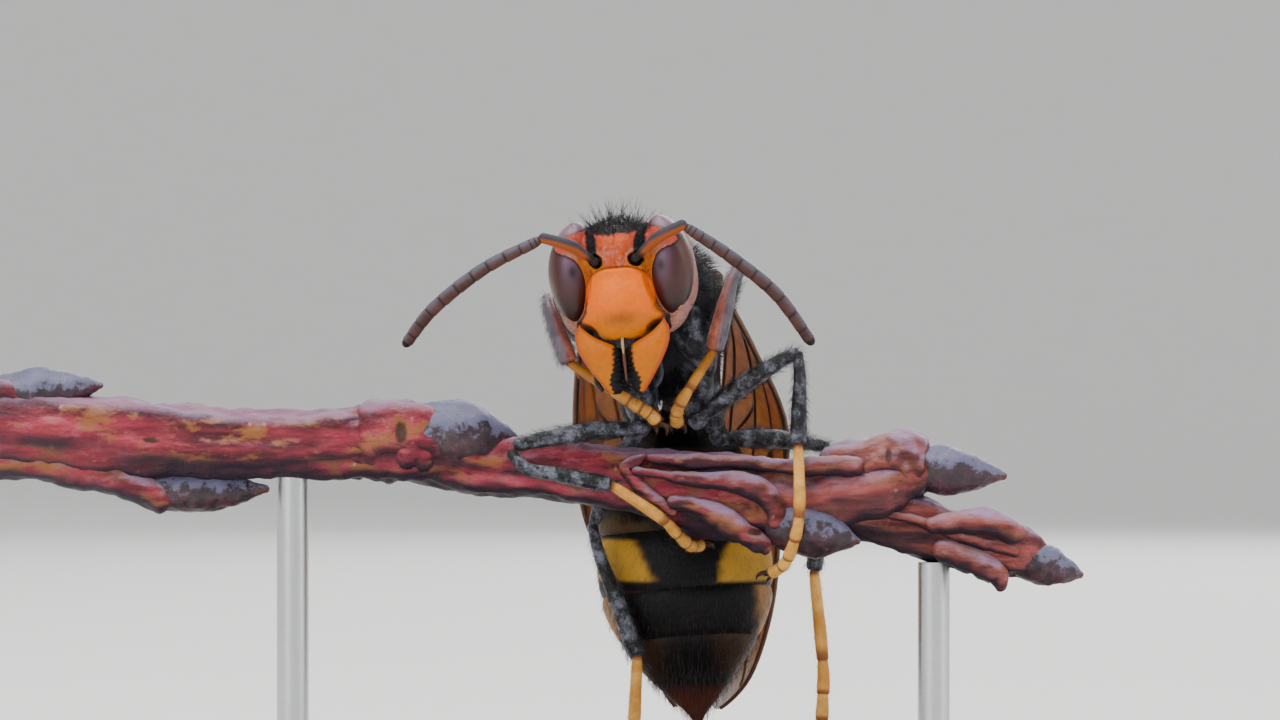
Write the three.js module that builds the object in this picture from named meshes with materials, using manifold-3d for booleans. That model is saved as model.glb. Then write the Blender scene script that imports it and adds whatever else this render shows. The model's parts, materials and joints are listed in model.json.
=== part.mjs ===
// A yellow-legged hornet at life size, gripping a cut length of twig that two rods hold over a flat base.
// Places are in millimetres from a point just above the twig, under the hornet's mandibles:
// x to the hornet's left, y to its back, z up. The whole is then lifted so that z = 0 is under the base.
import * as THREE from 'three';
import { mergeVertices } from 'three/addons/utils/BufferGeometryUtils.js';
import Module from 'manifold-3d';

const wasm = await Module();
wasm.setup();

// Clearances
const GAP = 0.3;
const MEMBRANE = 0.5;
const VEIN_RISE = 0.13;

// Head
const HEAD_WIDTH = 5.3;
const HEAD_HEIGHT = 4.8;
const HEAD_DEPTH = 2.7;
const HEAD_CENTRE = [-0.65, 0, 2.95];
const HEAD_YAW = THREE.MathUtils.degToRad(-9);
const HEAD_ROLL = THREE.MathUtils.degToRad(-5);
const EYE = { x: 1.93, y: -0.12, z: 0.5, halfWidth: 0.84, halfDepth: 1.0, halfHeight: 1.95 };
const EYE_LEAN = THREE.MathUtils.degToRad(11);
const EYE_NOTCH = { x: 1.05, y: -0.95, z: 1.0, half: [0.5, 0.55, 0.4] };
const SOCKET = { x: 0.75, y: -1.45, z: 0.82, half: [0.42, 0.6, 0.42] };
const FRONS = { y: -1.02, z: 1.15, half: [0.62, 0.42, 0.75] };
const OCELLI = [[0, 2.02], [-0.32, 2.22], [0.32, 2.22]];
const OCELLUS = { y: -0.78, half: [0.16, 0.16, 0.14] };
const CLYPEUS = { halfWidth: 1.3, halfHeight: 1.45, bulge: 0.42, z: -0.75, flare: 0.16, lean: 0.12 };
const MANDIBLE_TOP = -2.1;
const MANDIBLE_TIP = -4.2;
const MANDIBLE_TEETH = 3;

// Feelers
const SCAPE_RADIUS = 0.27;
const PEDICEL = 0.35;
const FLAGELLUM_RADIUS = 0.26;
const FLAGELLUM_TIP_RADIUS = 0.24;

// Thorax, along its own axis, which slopes down to the waist
const THORAX_CENTRE = [0.85, 4.2, 1.4];
const THORAX_BACK = new THREE.Vector3(0.116, 0.751, -0.65).normalize();
const THORAX_UP = new THREE.Vector3(-0.06, 0.655, 0.755);
const THORAX_WIDTH = 4.9;
const THORAX_HEIGHT = 4.9;
const THORAX_LENGTH = 7.1;
// Plates by place along the thorax: middle and half sizes, in half widths, lengths and half heights
const THORAX_PLATES = {
  mesonotum: { middle: [0, -0.1, 0.04], half: [1, 0.355, 1], across: 16 },
  pronotum: { middle: [0, -0.28, 0.06], half: [0.86, 0.21, 0.78], across: 14 },
  scutellum: { middle: [0, 0.2, 0.52], half: [0.6, 0.13, 0.34], across: 12 },
  propodeum: { middle: [0, 0.28, -0.04], half: [0.82, 0.225, 0.7], across: 14 },
  tegula_left: { middle: [0.93, -0.11, 0.42], half: [0.14, 0.087, 0.163], across: 8 },
  tegula_right: { middle: [-0.93, -0.11, 0.42], half: [0.14, 0.087, 0.163], across: 8 },
};
const WAIST_RADIUS = 0.45;

// Gaster, hanging almost straight down
const GASTER_TOP = -1.85;
const GASTER_TIP = -13.75;
const GASTER_HALF_WIDTH = 3.25;
const GASTER_HALF_DEPTH = 2.75;
const SEGMENT_ENDS = [-3.35, -6.5, -8.8, -10.7, -12.15, GASTER_TIP];

// Legs: thickest radius of each length, and the length of a claw
const COXA_RADIUS = 0.68;
const FEMUR_RADIUS = { fore: 0.42, mid: 0.4, hind: 0.42 };
const TIBIA_RADIUS = { fore: 0.34, mid: 0.3, hind: 0.32 };
const TARSUS_RADIUS = 0.25;
const CLAW_LENGTH = 0.5;
const SPUR_LENGTH = 0.6;
const TARSUS_JOINTS = [0.03, 0.46, 0.64, 0.78, 0.87, 0.97];

// Twig and stand
const TWIG_DEPTH = 2.2;
const TWIG_CUT_END = -25;
const BASE_SIZE = [42, 24, 2];
const BASE_CORNER = 3;
const BASE_BEVEL = 0.4;
const ROD_RADIUS = 0.6;
const ROD_PLACES = [-13, 11];
const BASE_MIDDLE = [-1, 3.5];
const TWIG_HEIGHT_OVER_FLOOR = 20.2;

const vec = (place) => new THREE.Vector3(...place);
const mix = THREE.MathUtils.lerp;

// A smooth curve through a few values, read at t from 0 to 1.
function spline(values) {
  const curve = new THREE.SplineCurve(values.map((value, i) => new THREE.Vector2(i, value)));
  return (t) => curve.getPoint(t).y;
}

// Closed geometry from rings of equal count, each end closed to a point.
function loft(rings, startPole, endPole) {
  const sides = rings[0].length;
  const points = [startPole, ...rings.flat(), endPole];
  const last = points.length - 1;
  const faces = [];
  for (let k = 0; k < sides; k += 1) {
    const next = (k + 1) % sides;
    faces.push(0, 1 + next, 1 + k);
    for (let i = 0; i < rings.length - 1; i += 1) {
      const here = 1 + i * sides;
      const there = here + sides;
      faces.push(here + k, here + next, there + next);
      faces.push(here + k, there + next, there + k);
    }
    faces.push(last, last - sides + k, last - sides + next);
  }
  return geometryOf(points, faces);
}

function geometryOf(points, faces) {
  const geometry = new THREE.BufferGeometry();
  const values = points.flatMap((p) => [p.x, p.y, p.z]);
  geometry.setAttribute('position', new THREE.Float32BufferAttribute(values, 3));
  geometry.setIndex(faces);
  return geometry;
}

// A tapering limb along a curve through joints, with one radius for each joint. roundness is the length of
// its round ends, lie the side that flatness thins, and swell the clearance when it cuts its neighbour.
const LIMB = { sides: 8, steps: 6, roundness: 0.7, swell: 0, flatness: 1, lie: [0, 0, 1] };

function limb(joints, radii, form = {}) {
  const { sides, steps, roundness, swell, flatness, lie } = { ...LIMB, ...form };
  const curve = new THREE.CatmullRomCurve3(joints.map(vec), false, 'centripetal');
  const radiusAt = spline(radii);
  const rings = [];
  let side = vec(lie);
  const ringAt = (centre, tangent, bare) => {
    const radius = bare + swell;
    side = side.clone().addScaledVector(tangent, -side.dot(tangent)).normalize();
    const across = new THREE.Vector3().crossVectors(tangent, side);
    const ring = [];
    for (let k = 0; k < sides; k += 1) {
      const angle = (2 * Math.PI * k) / sides;
      const along = side.clone().multiplyScalar(Math.cos(angle) * (bare * flatness + swell));
      ring.push(centre.clone().add(along).addScaledVector(across, Math.sin(angle) * radius));
    }
    rings.push(ring);
  };
  const start = curve.getPoint(0);
  const end = curve.getPoint(1);
  const startTangent = curve.getTangent(0.001);
  const endTangent = curve.getTangent(0.999);
  const startCap = radiusAt(0) * roundness + swell;
  const endCap = radiusAt(1) * roundness + swell;
  const bow = Math.SQRT1_2;
  const narrow = (t) => (radiusAt(t) + swell) * bow - swell;
  ringAt(start.clone().addScaledVector(startTangent, -startCap * bow), startTangent, narrow(0));
  for (let i = 0; i <= steps; i += 1) {
    const t = i / steps;
    ringAt(curve.getPoint(t), curve.getTangent(THREE.MathUtils.clamp(t, 0.001, 0.999)), radiusAt(t));
  }
  ringAt(end.clone().addScaledVector(endTangent, endCap * bow), endTangent, narrow(1));
  return loft(rings, start.addScaledVector(startTangent, -startCap), end.addScaledVector(endTangent, endCap));
}

function ellipsoid(centre, semi, { swell = 0, across = 16, down = 10, turn = null } = {}) {
  const geometry = new THREE.SphereGeometry(1, across, down);
  geometry.scale(semi[0] + swell, semi[1] + swell, semi[2] + swell);
  if (turn) geometry.applyMatrix4(new THREE.Matrix4().makeRotationFromEuler(new THREE.Euler(...turn)));
  return geometry.translate(...centre);
}

// A thin vane from a grid of points. Both faces are split alike, and raise(i, j) thickens it at a vein.
function vane(lengthSteps, widthSteps, surface, raise, swell) {
  const row = widthSteps + 1;
  const middles = [];
  for (let i = 0; i <= lengthSteps; i += 1) {
    for (let j = 0; j <= widthSteps; j += 1) middles.push(surface(i / lengthSteps, j / widthSteps));
  }
  const within = (value, most) => THREE.MathUtils.clamp(value, 0, most);
  const at = (i, j) => middles[within(i, lengthSteps) * row + within(j, widthSteps)];
  const outer = [];
  const inner = [];
  for (let i = 0; i <= lengthSteps; i += 1) {
    for (let j = 0; j <= widthSteps; j += 1) {
      const lengthways = at(i + 1, j).clone().sub(at(i - 1, j));
      const crossways = at(i, j + 1).clone().sub(at(i, j - 1));
      const normal = lengthways.cross(crossways).normalize();
      const half = MEMBRANE / 2 + raise(i, j) + swell;
      outer.push(at(i, j).clone().addScaledVector(normal, half));
      inner.push(at(i, j).clone().addScaledVector(normal, -half));
    }
  }
  const count = outer.length;
  const faces = [];
  const quad = (a, b, c, d) => faces.push(a, b, c, a, c, d);
  for (let i = 0; i < lengthSteps; i += 1) {
    for (let j = 0; j < widthSteps; j += 1) {
      const a = i * row + j;
      quad(a, a + row, a + row + 1, a + 1);
      faces.push(count + a, count + a + row + 1, count + a + row);
      faces.push(count + a, count + a + 1, count + a + row + 1);
    }
    const low = i * row;
    const high = low + widthSteps;
    quad(low, count + low, count + low + row, low + row);
    quad(high, high + row, count + high + row, count + high);
  }
  for (let j = 0; j < widthSteps; j += 1) {
    const far = lengthSteps * row + j;
    quad(j, j + 1, count + j + 1, count + j);
    quad(far, count + far, count + far + 1, far + 1);
  }
  return geometryOf([...outer, ...inner], faces);
}

// Geometry to solid and back. Triangles that a pole has closed up are dropped first.
function solid(geometry) {
  const bare = geometry.clone();
  bare.deleteAttribute('normal');
  bare.deleteAttribute('uv');
  const merged = mergeVertices(bare, 1e-5);
  const index = merged.index.array;
  const kept = [];
  for (let i = 0; i < index.length; i += 3) {
    const [a, b, c] = [index[i], index[i + 1], index[i + 2]];
    if (a !== b && b !== c && c !== a) kept.push(a, b, c);
  }
  const vertProperties = new Float32Array(merged.attributes.position.array);
  const triVerts = new Uint32Array(kept);
  const made = new wasm.Manifold(new wasm.Mesh({ numProp: 3, vertProperties, triVerts }));
  if (made.volume() < 0) throw new Error('a solid is inside out');
  return made;
}

const joined = (...geometries) => geometries.map(solid).reduce((whole, piece) => whole.add(piece));
const without = (whole, ...tools) => tools.reduce((left, tool) => left.subtract(tool), whole);

function largest(manifold) {
  const pieces = manifold.decompose();
  return pieces.reduce((best, piece) => (piece.volume() > best.volume() ? piece : best));
}

function meshOf(name, manifold, finish) {
  const { vertProperties, triVerts } = largest(manifold).getMesh();
  const geometry = new THREE.BufferGeometry();
  geometry.setAttribute('position', new THREE.BufferAttribute(new Float32Array(vertProperties), 3));
  geometry.setIndex(new THREE.BufferAttribute(new Uint32Array(triVerts), 1));
  geometry.computeVertexNormals();
  const mesh = new THREE.Mesh(geometry, new THREE.MeshStandardMaterial(finish));
  mesh.name = name;
  return mesh;
}

const FINISH = {
  blackShell: { color: 0x17151a, roughness: 0.45, metalness: 0 },
  orangeShell: { color: 0xdf8229, roughness: 0.38, metalness: 0 },
  brownShell: { color: 0x6b3420, roughness: 0.45, metalness: 0 },
  yellowShell: { color: 0xd9aa4e, roughness: 0.45, metalness: 0 },
  bandedShell: { color: 0x2a2019, roughness: 0.4, metalness: 0 },
  eye: { color: 0x39202a, roughness: 0.18, metalness: 0 },
  wing: { color: 0x9a5a26, roughness: 0.3, metalness: 0 },
  bark: { color: 0x7c2f38, roughness: 0.6, metalness: 0 },
  wood: { color: 0x3a2a20, roughness: 0.5, metalness: 0 },
  steel: { color: 0xb8bcc2, roughness: 0.3, metalness: 1 },
};

const hornet = new THREE.Group();
const perch = new THREE.Group();
const stand = new THREE.Group();
const SIDES = { left: 1, right: -1 };

// Head, in its own frame: x to its left, y to its back, z up, turned and leaned as a whole.
const headFrame = new THREE.Matrix4()
  .makeRotationFromEuler(new THREE.Euler(0, HEAD_ROLL, HEAD_YAW, 'ZYX'))
  .setPosition(...HEAD_CENTRE);
const inHead = (geometry) => geometry.applyMatrix4(headFrame);
const headPlace = (x, y, z) => new THREE.Vector3(x, y, z).applyMatrix4(headFrame).toArray();

// The capsule is broad over the eyes, narrow towards the mandibles and flat behind.
function headCapsule() {
  const geometry = new THREE.SphereGeometry(1, 20, 14);
  const place = geometry.attributes.position;
  for (let i = 0; i < place.count; i += 1) {
    const [x, y, z] = [place.getX(i), place.getY(i), place.getZ(i)];
    const narrowing = z < 0 ? 1 - 0.22 * z * z : 1;
    const squareness = 1 + 0.12 * Math.abs(x * z);
    const depth = y > 0 ? 0.9 - 0.15 * z : 1 - 0.12 * z;
    const width = (HEAD_WIDTH / 2) * narrowing * squareness;
    place.setXYZ(i, x * width, y * (HEAD_DEPTH / 2) * depth, z * (HEAD_HEIGHT / 2) * squareness);
  }
  return geometry;
}

function eyeShape(side, swell) {
  const turn = [0, -side * EYE_LEAN, 0];
  const middle = [side * EYE.x, EYE.y, EYE.z];
  const half = [EYE.halfWidth, EYE.halfDepth, EYE.halfHeight];
  return solid(inHead(ellipsoid(middle, half, { swell, turn, across: 12, down: 8 })));
}

// The notch in the inner rim of the eye, beside the antenna's socket.
function eyeNotch(side, swell) {
  const middle = [side * EYE_NOTCH.x, EYE_NOTCH.y, EYE_NOTCH.z];
  return solid(inHead(ellipsoid(middle, EYE_NOTCH.half, { swell, across: 8, down: 6 })));
}

function clypeusPlate() {
  const geometry = new THREE.SphereGeometry(1, 16, 10);
  const place = geometry.attributes.position;
  for (let i = 0; i < place.count; i += 1) {
    const [x, y, z] = [place.getX(i), place.getY(i), place.getZ(i)];
    const flare = 1 + CLYPEUS.flare * Math.max(0, -z);
    place.setXYZ(i, x * CLYPEUS.halfWidth * flare, y * CLYPEUS.bulge, z * CLYPEUS.halfHeight);
  }
  return geometry.rotateX(CLYPEUS.lean).translate(0, -HEAD_DEPTH / 2, CLYPEUS.z);
}

// A mandible is a broad blade, convex in front, with blunt teeth along its inner edge.
function mandibleShape(side, swell) {
  const down = (part) => mix(MANDIBLE_TOP, MANDIBLE_TIP, part);
  const middles = [
    [1.0, -0.7, down(0)], [1.02, -1.05, down(0.25)], [0.84, -1.18, down(0.55)], [0.48, -1.0, down(1)],
  ];
  const blade = limb(
    middles.map(([x, y, z]) => [side * x, y, z]),
    [0.68, 0.72, 0.54, 0.24],
    { steps: 5, flatness: 0.42, lie: [0, 1, 0], swell },
  );
  const pieces = [blade];
  for (let i = 0; i < MANDIBLE_TEETH; i += 1) {
    const place = 0.31 + (0.57 * i) / (MANDIBLE_TEETH - 1);
    const root = [side * mix(0.75, 0.38, place), -1.08, down(place)];
    const point = [side * 0.26, -1.02, down(place + 0.1)];
    pieces.push(limb([root, point], [0.26, 0.08], { sides: 5, steps: 1, swell }));
  }
  return joined(...pieces.map(inHead));
}

function addHead() {
  const bumps = [headCapsule(), clypeusPlate()];
  bumps.push(ellipsoid([0, FRONS.y, FRONS.z], FRONS.half, { across: 12, down: 8 }));
  for (const [x, z] of OCELLI) bumps.push(ellipsoid([x, OCELLUS.y, z], OCELLUS.half, { across: 8, down: 6 }));
  let head = joined(...bumps.map(inHead));
  for (const [name, side] of Object.entries(SIDES)) {
    const eye = without(eyeShape(side, 0), eyeNotch(side, 0));
    const mandible = mandibleShape(side, 0);
    const socketMiddle = [side * SOCKET.x, SOCKET.y, SOCKET.z];
    const socket = solid(inHead(ellipsoid(socketMiddle, SOCKET.half, { across: 10, down: 8 })));
    const orbit = without(eyeShape(side, GAP), eyeNotch(side, -GAP));
    head = without(head, orbit, mandibleShape(side, GAP), socket);
    hornet.add(meshOf(`eye_${name}`, eye, FINISH.eye));
    hornet.add(meshOf(`mandible_${name}`, mandible, FINISH.orangeShell));
  }
  hornet.add(meshOf('head', head, FINISH.orangeShell));
}

// Feelers: a short scape out of its socket, then a long arched flagellum of eleven like lengths.
const FEELERS = {
  left: { elbow: [1.56, -2.0, 4.96], arch: [[3.3, -1.8, 3.81], [5.0, -1.3, 2.44]], tip: [6.26, -0.8, 0.74] },
  right: {
    elbow: [-3.56, -1.5, 4.48], arch: [[-5.78, -1.4, 3.33], [-7.6, -1.0, 1.9]], tip: [-8.59, -0.5, 0.67],
  },
};

function addFeelers() {
  for (const [name, side] of Object.entries(SIDES)) {
    const { elbow, arch, tip } = FEELERS[name];
    const root = headPlace(side * SOCKET.x, SOCKET.y - 0.15, SOCKET.z);
    const bend = vec(root).lerp(vec(elbow), 0.55).add(new THREE.Vector3(0, -0.2, 0.12)).toArray();
    const scapeRadii = [0.24, SCAPE_RADIUS, 0.25];
    const scape = (swell) => solid(limb([root, bend, elbow], scapeRadii, { steps: 4, swell }));
    const onward = vec(arch[0]).sub(vec(elbow)).normalize();
    const start = vec(elbow).addScaledVector(onward, GAP + PEDICEL).toArray();
    const flagellum = limb(
      [start, arch[0], arch[1], tip],
      [0.25, FLAGELLUM_RADIUS, FLAGELLUM_RADIUS, FLAGELLUM_TIP_RADIUS],
      { steps: 11 },
    );
    hornet.add(meshOf(`antenna_scape_${name}`, scape(0), FINISH.brownShell));
    hornet.add(meshOf(`antenna_flagellum_${name}`, without(solid(flagellum), scape(GAP)), FINISH.brownShell));
  }
}

// Thorax, in its own frame: x to its left, y to its back along the axis, z to its upper side.
const thoraxLeft = new THREE.Vector3().crossVectors(THORAX_BACK, THORAX_UP).normalize();
const thoraxUp = new THREE.Vector3().crossVectors(thoraxLeft, THORAX_BACK);
const thoraxFrame = new THREE.Matrix4()
  .makeBasis(thoraxLeft, THORAX_BACK, thoraxUp)
  .setPosition(...THORAX_CENTRE);
const inThorax = (geometry) => geometry.applyMatrix4(thoraxFrame);
const thoraxPlace = (x, y, z) => new THREE.Vector3(x, y, z).applyMatrix4(thoraxFrame).toArray();

function thoraxShape(swell) {
  const sizes = [THORAX_WIDTH / 2, THORAX_LENGTH, THORAX_HEIGHT / 2];
  const inSizes = (values) => values.map((value, i) => value * sizes[i]);
  const plates = Object.values(THORAX_PLATES).map(({ middle, half, across }) => (
    ellipsoid(inSizes(middle), inSizes(half), { swell, across, down: Math.round(across * 0.6) })
  ));
  return joined(...plates.map(inThorax));
}

function addThorax() {
  const neckRoot = thoraxPlace(0, -0.38 * THORAX_LENGTH, -0.5);
  const neckEnd = headPlace(0.12, HEAD_DEPTH * 0.2, -0.2);
  const neck = solid(limb([neckRoot, neckEnd], [0.9, 0.62], { sides: 10, steps: 2 }));
  const head = joined(inHead(headCapsule().scale(1 + GAP / 2.4, 1 + GAP / 1.3, 1 + GAP / 2.4)));
  hornet.add(meshOf('thorax', without(thoraxShape(0).add(neck), head), FINISH.blackShell));
}

// Gaster: sections across its axis at height z, from a few named widths and centres.
const gasterWidth = spline([0.16, 0.62, 0.78, 0.88, 0.95, 0.99, 1, 0.96, 0.83, 0.62, 0.34, 0.06]);
const gasterMiddleX = spline([1.32, 1.5, 1.62, 1.8, 1.98, 2.2]);
const gasterMiddleY = spline([6.95, 7.15, 7.0, 6.8, 6.45, 6.0]);

function gasterRing(z, scale, swell, sides) {
  const t = THREE.MathUtils.clamp((GASTER_TOP - z) / (GASTER_TOP - GASTER_TIP), 0, 1);
  const middle = [gasterMiddleX(t), gasterMiddleY(t)];
  const width = gasterWidth(t) * scale;
  const ring = [];
  for (let k = 0; k < sides; k += 1) {
    const angle = (2 * Math.PI * k) / sides;
    const x = middle[0] + Math.cos(angle) * (width * GASTER_HALF_WIDTH + swell);
    const y = middle[1] + Math.sin(angle) * (width * GASTER_HALF_DEPTH + swell);
    ring.push(new THREE.Vector3(x, y, z));
  }
  return ring;
}

function ringMiddle(ring) {
  return ring.reduce((sum, p) => sum.add(p), new THREE.Vector3()).divideScalar(ring.length);
}

// One segment: tucked in at its upper edge, with a slight lip at its lower edge.
function gasterSegment(top, bottom, isTip) {
  const steps = 3;
  const sides = 18;
  const rings = [gasterRing(top, 0.9, 0, sides)];
  for (let i = 0; i <= steps; i += 1) {
    const t = i / steps;
    const lip = mix(0.97, 1.02, Math.min(1, t * 1.6));
    rings.push(gasterRing(mix(top - 0.08, isTip ? bottom : bottom + 0.05, t), lip, 0, sides));
  }
  if (!isTip) rings.push(gasterRing(bottom, 0.97, 0, sides));
  return loft(rings.reverse(), ringMiddle(rings[0]), ringMiddle(rings[rings.length - 1]));
}

function addGaster() {
  let top = GASTER_TOP;
  SEGMENT_ENDS.forEach((end, i) => {
    const isTip = end === GASTER_TIP;
    const segment = solid(gasterSegment(top, isTip ? end : end + GAP / 2, isTip));
    hornet.add(meshOf(`gaster_segment_${i + 1}`, segment, i === 5 ? FINISH.brownShell : FINISH.bandedShell));
    top = end - GAP / 2;
  });
}

function addWaist() {
  const thoraxEnd = thoraxPlace(0, 0.49 * THORAX_LENGTH, -0.35);
  const gasterStart = [gasterMiddleX(0), gasterMiddleY(0), GASTER_TOP + 0.1];
  const rod = limb([thoraxEnd, gasterStart], [WAIST_RADIUS, WAIST_RADIUS], { steps: 2, sides: 10 });
  const firstSegment = solid(gasterSegment(GASTER_TOP, SEGMENT_ENDS[0], false)).translate([0, 0, GAP]);
  hornet.add(meshOf('waist', without(solid(rod), thoraxShape(GAP), firstSegment), FINISH.blackShell));
}

// Legs: hip, end of the coxa, knee, ankle, heel and the curl of the toes, as the hornet grips.
const LEGS = {
  fore_left: {
    hip: thoraxPlace(0.95, -1.9, -1.45), trochanter: [2.5, 1.55, -0.35],
    knee: [3.68, 1.85, 3.3], shin: [3.5, 1.05, 3.25], ankle: [2.76, 0.85, 0.37],
    foot: [[1.68, 0.55, -1.31], [1.4, 0.7, -1.85], [1.35, 1.05, -2.15]], toe: [1.4, 1.5, -2.35],
  },
  fore_right: {
    hip: thoraxPlace(-0.95, -1.75, -1.45), trochanter: [-0.75, 1.8, -1.0],
    knee: [-3.35, 2.35, 2.15], shin: [-3.5, 1.55, 2.2], ankle: [-2.65, 0.65, -0.11],
    foot: [[-0.95, 0.5, -1.18], [-0.1, 0.45, -1.72], [0.35, 0.5, -2.0]], toe: [0.62, 0.75, -2.28],
  },
  mid_left: {
    hip: thoraxPlace(1.05, 0.5, -1.75), trochanter: [2.1, 2.0, -2.3],
    knee: [5.8, 0.95, 0.3], shin: [5.95, 0.85, -0.25], ankle: [5.87, 0.35, -3.16],
    foot: [[5.91, 0.0, -5.28], [5.8, 0.1, -6.4], [5.4, 0.75, -7.55]], toe: [4.85, 1.35, -7.95],
  },
  mid_right: {
    hip: thoraxPlace(-1.05, 0.5, -1.75), trochanter: [0.05, 1.6, -2.55],
    knee: [-4.6, 0.25, -3.15], shin: [-4.6, 0.0, -3.95], ankle: [-1.08, 0.1, -4.62],
    foot: [[0.74, 0.6, -5.84], [1.4, 1.3, -6.5], [1.9, 2.1, -6.95]], toe: [2.3, 2.8, -6.95],
  },
  hind_left: {
    hip: thoraxPlace(1.1, 2.0, -1.35), trochanter: [2.95, 4.25, -2.95],
    knee: [7.15, 6.45, -3.3], shin: [7.2, 6.75, -3.85], ankle: [6.67, 7.0, -8.09],
    foot: [[7.01, 7.1, -11.54], [7.0, 6.95, -13.1], [6.9, 6.75, -14.6]], toe: [6.75, 6.5, -15.2],
  },
  hind_right: {
    hip: thoraxPlace(-1.1, 2.0, -1.35), trochanter: [-0.25, 4.2, -2.9],
    knee: [-1.75, 4.7, -6.15], shin: [-1.75, 4.5, -6.8], ankle: [-0.1, 4.4, -11.2],
    foot: [[-0.25, 5.1, -14.5], [-0.25, 5.5, -15.9], [0.0, 5.95, -16.8]], toe: [0.25, 6.3, -17.2],
  },
};

const towards = (from, to, distance) => vec(from).add(vec(to).sub(vec(from)).setLength(distance)).toArray();

function coxaShape(leg, swell) {
  const { hip, trochanter } = leg;
  const neck = towards(trochanter, hip, 0.5);
  const path = [hip, vec(hip).lerp(vec(trochanter), 0.55).toArray(), neck];
  return solid(limb(path, [COXA_RADIUS, COXA_RADIUS * 0.85, 0.36], { sides: 7, steps: 3, swell }));
}

function femurShape(leg, pair, swell) {
  const { trochanter, knee } = leg;
  const radius = FEMUR_RADIUS[pair];
  const middle = vec(trochanter).lerp(vec(knee), 0.45).toArray();
  const path = [towards(trochanter, knee, 0.15), middle, towards(knee, trochanter, 0.35)];
  return solid(limb(path, [0.32, radius, 0.31], { sides: 8, steps: 5, swell }));
}

function tibiaShape(leg, pair, swell) {
  const { knee, shin, ankle } = leg;
  const radius = TIBIA_RADIUS[pair];
  const bendAt = vec(shin).lerp(vec(ankle), 0.12).toArray();
  const middle = vec(shin).lerp(vec(ankle), 0.6).toArray();
  const end = towards(ankle, shin, 0.3);
  const kneeCap = vec(knee).lerp(vec(shin), 0.6).add(vec(knee).sub(vec(ankle)).setLength(0.25)).toArray();
  const radii = [0.26, 0.27, radius, radius * 0.86];
  return solid(limb([kneeCap, bendAt, middle, end], radii, { sides: 7, steps: 5, swell }));
}

// A spur at the end of the shin: a short spine that points on and slightly outwards.
function spurShape(leg, swell) {
  const { shin, ankle, foot } = leg;
  const root = towards(ankle, shin, 0.45);
  const outwards = vec(ankle).sub(vec(shin)).normalize().multiplyScalar(0.8)
    .add(vec(foot[0]).sub(vec(ankle)).cross(new THREE.Vector3(0, 1, 0)).setLength(0.55));
  const point = vec(root).addScaledVector(outwards.normalize(), SPUR_LENGTH + 0.3).toArray();
  return solid(limb([root, point], [0.2, 0.05], { sides: 5, steps: 1, swell }));
}

// The tarsus: five lengths, each wider at its far end, then a pair of claws.
function tarsusShape(leg, swell) {
  const { ankle, foot, toe } = leg;
  const path = new THREE.CatmullRomCurve3([ankle, ...foot, toe].map(vec), false, 'centripetal');
  const joints = [];
  const radii = [];
  TARSUS_JOINTS.slice(1).forEach((end, i) => {
    const start = TARSUS_JOINTS[i];
    joints.push(path.getPointAt(start + 0.01).toArray(), path.getPointAt(end - 0.01).toArray());
    radii.push(TARSUS_RADIUS * 0.8, TARSUS_RADIUS);
  });
  const pieces = [solid(limb(joints, radii, { sides: 7, steps: joints.length - 1, swell, roundness: 0.6 }))];
  const onward = path.getTangentAt(1);
  const across = new THREE.Vector3().crossVectors(onward, new THREE.Vector3(0.2, 0.3, 1)).normalize();
  const end = path.getPointAt(0.98);
  for (const side of Object.values(SIDES)) {
    const outwards = across.clone().multiplyScalar(side * CLAW_LENGTH);
    const bend = end.clone().addScaledVector(onward, CLAW_LENGTH * 0.55).addScaledVector(outwards, 0.5);
    const point = bend.clone().addScaledVector(onward, CLAW_LENGTH * 0.4).addScaledVector(outwards, 0.08);
    const claw = [end, bend, point].map((place) => place.toArray());
    pieces.push(solid(limb(claw, [0.17, 0.13, 0.05], { sides: 4, steps: 2, swell })));
  }
  return pieces.reduce((whole, piece) => whole.add(piece));
}

function addLegs() {
  const bodyWithGap = thoraxShape(GAP);
  for (const [name, leg] of Object.entries(LEGS)) {
    const [pair] = name.split('_');
    const coxa = without(coxaShape(leg, 0), bodyWithGap);
    const femur = without(femurShape(leg, pair, 0), coxaShape(leg, GAP));
    const tibia = without(tibiaShape(leg, pair, 0).add(spurShape(leg, 0)), femurShape(leg, pair, GAP));
    const tarsus = without(tarsusShape(leg, 0), tibiaShape(leg, pair, GAP), spurShape(leg, GAP));
    const shin = pair === 'fore' ? FINISH.brownShell : FINISH.blackShell;
    hornet.add(meshOf(`leg_${name}_coxa`, coxa, FINISH.blackShell));
    hornet.add(meshOf(`leg_${name}_femur`, femur, FINISH.blackShell));
    hornet.add(meshOf(`leg_${name}_tibia`, tibia, shin));
    hornet.add(meshOf(`leg_${name}_tarsus`, tarsus, FINISH.yellowShell));
  }
}

// Wings: each is a narrow folded strip between its leading edge and its fold, arched outwards.
const FOREWINGS = {
  left: {
    lead: [[3.3, 4.55, 2.2], [4.4, 6.3, 0.2], [5.6, 7.75, -2.7], [5.1, 8.8, -6.5],
      [4.65, 9.25, -9.5], [3.95, 9.5, -12.1], [2.9, 9.7, -13.7]],
    fold: [[2.85, 5.4, 2.35], [3.2, 8.0, 0.6], [3.0, 10.5, -2.6], [2.85, 11.35, -6.3],
      [2.8, 11.2, -9.3], [2.7, 10.6, -12.0], [2.6, 10.0, -13.4]],
  },
  right: {
    lead: [[-1.85, 4.75, 1.9], [-2.3, 6.6, 0], [-2.45, 7.8, -2.9], [-2.1, 8.75, -6.0],
      [-0.95, 9.4, -8.6], [0.4, 9.5, -11.8], [1.35, 9.7, -13.6]],
    fold: [[-1.35, 5.55, 2.2], [-1.0, 8.1, 0.6], [-0.3, 10.5, -2.6], [0.35, 11.35, -6.3],
      [0.85, 11.2, -9.3], [1.25, 10.6, -12.0], [1.6, 10.05, -13.4]],
  },
};
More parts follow.
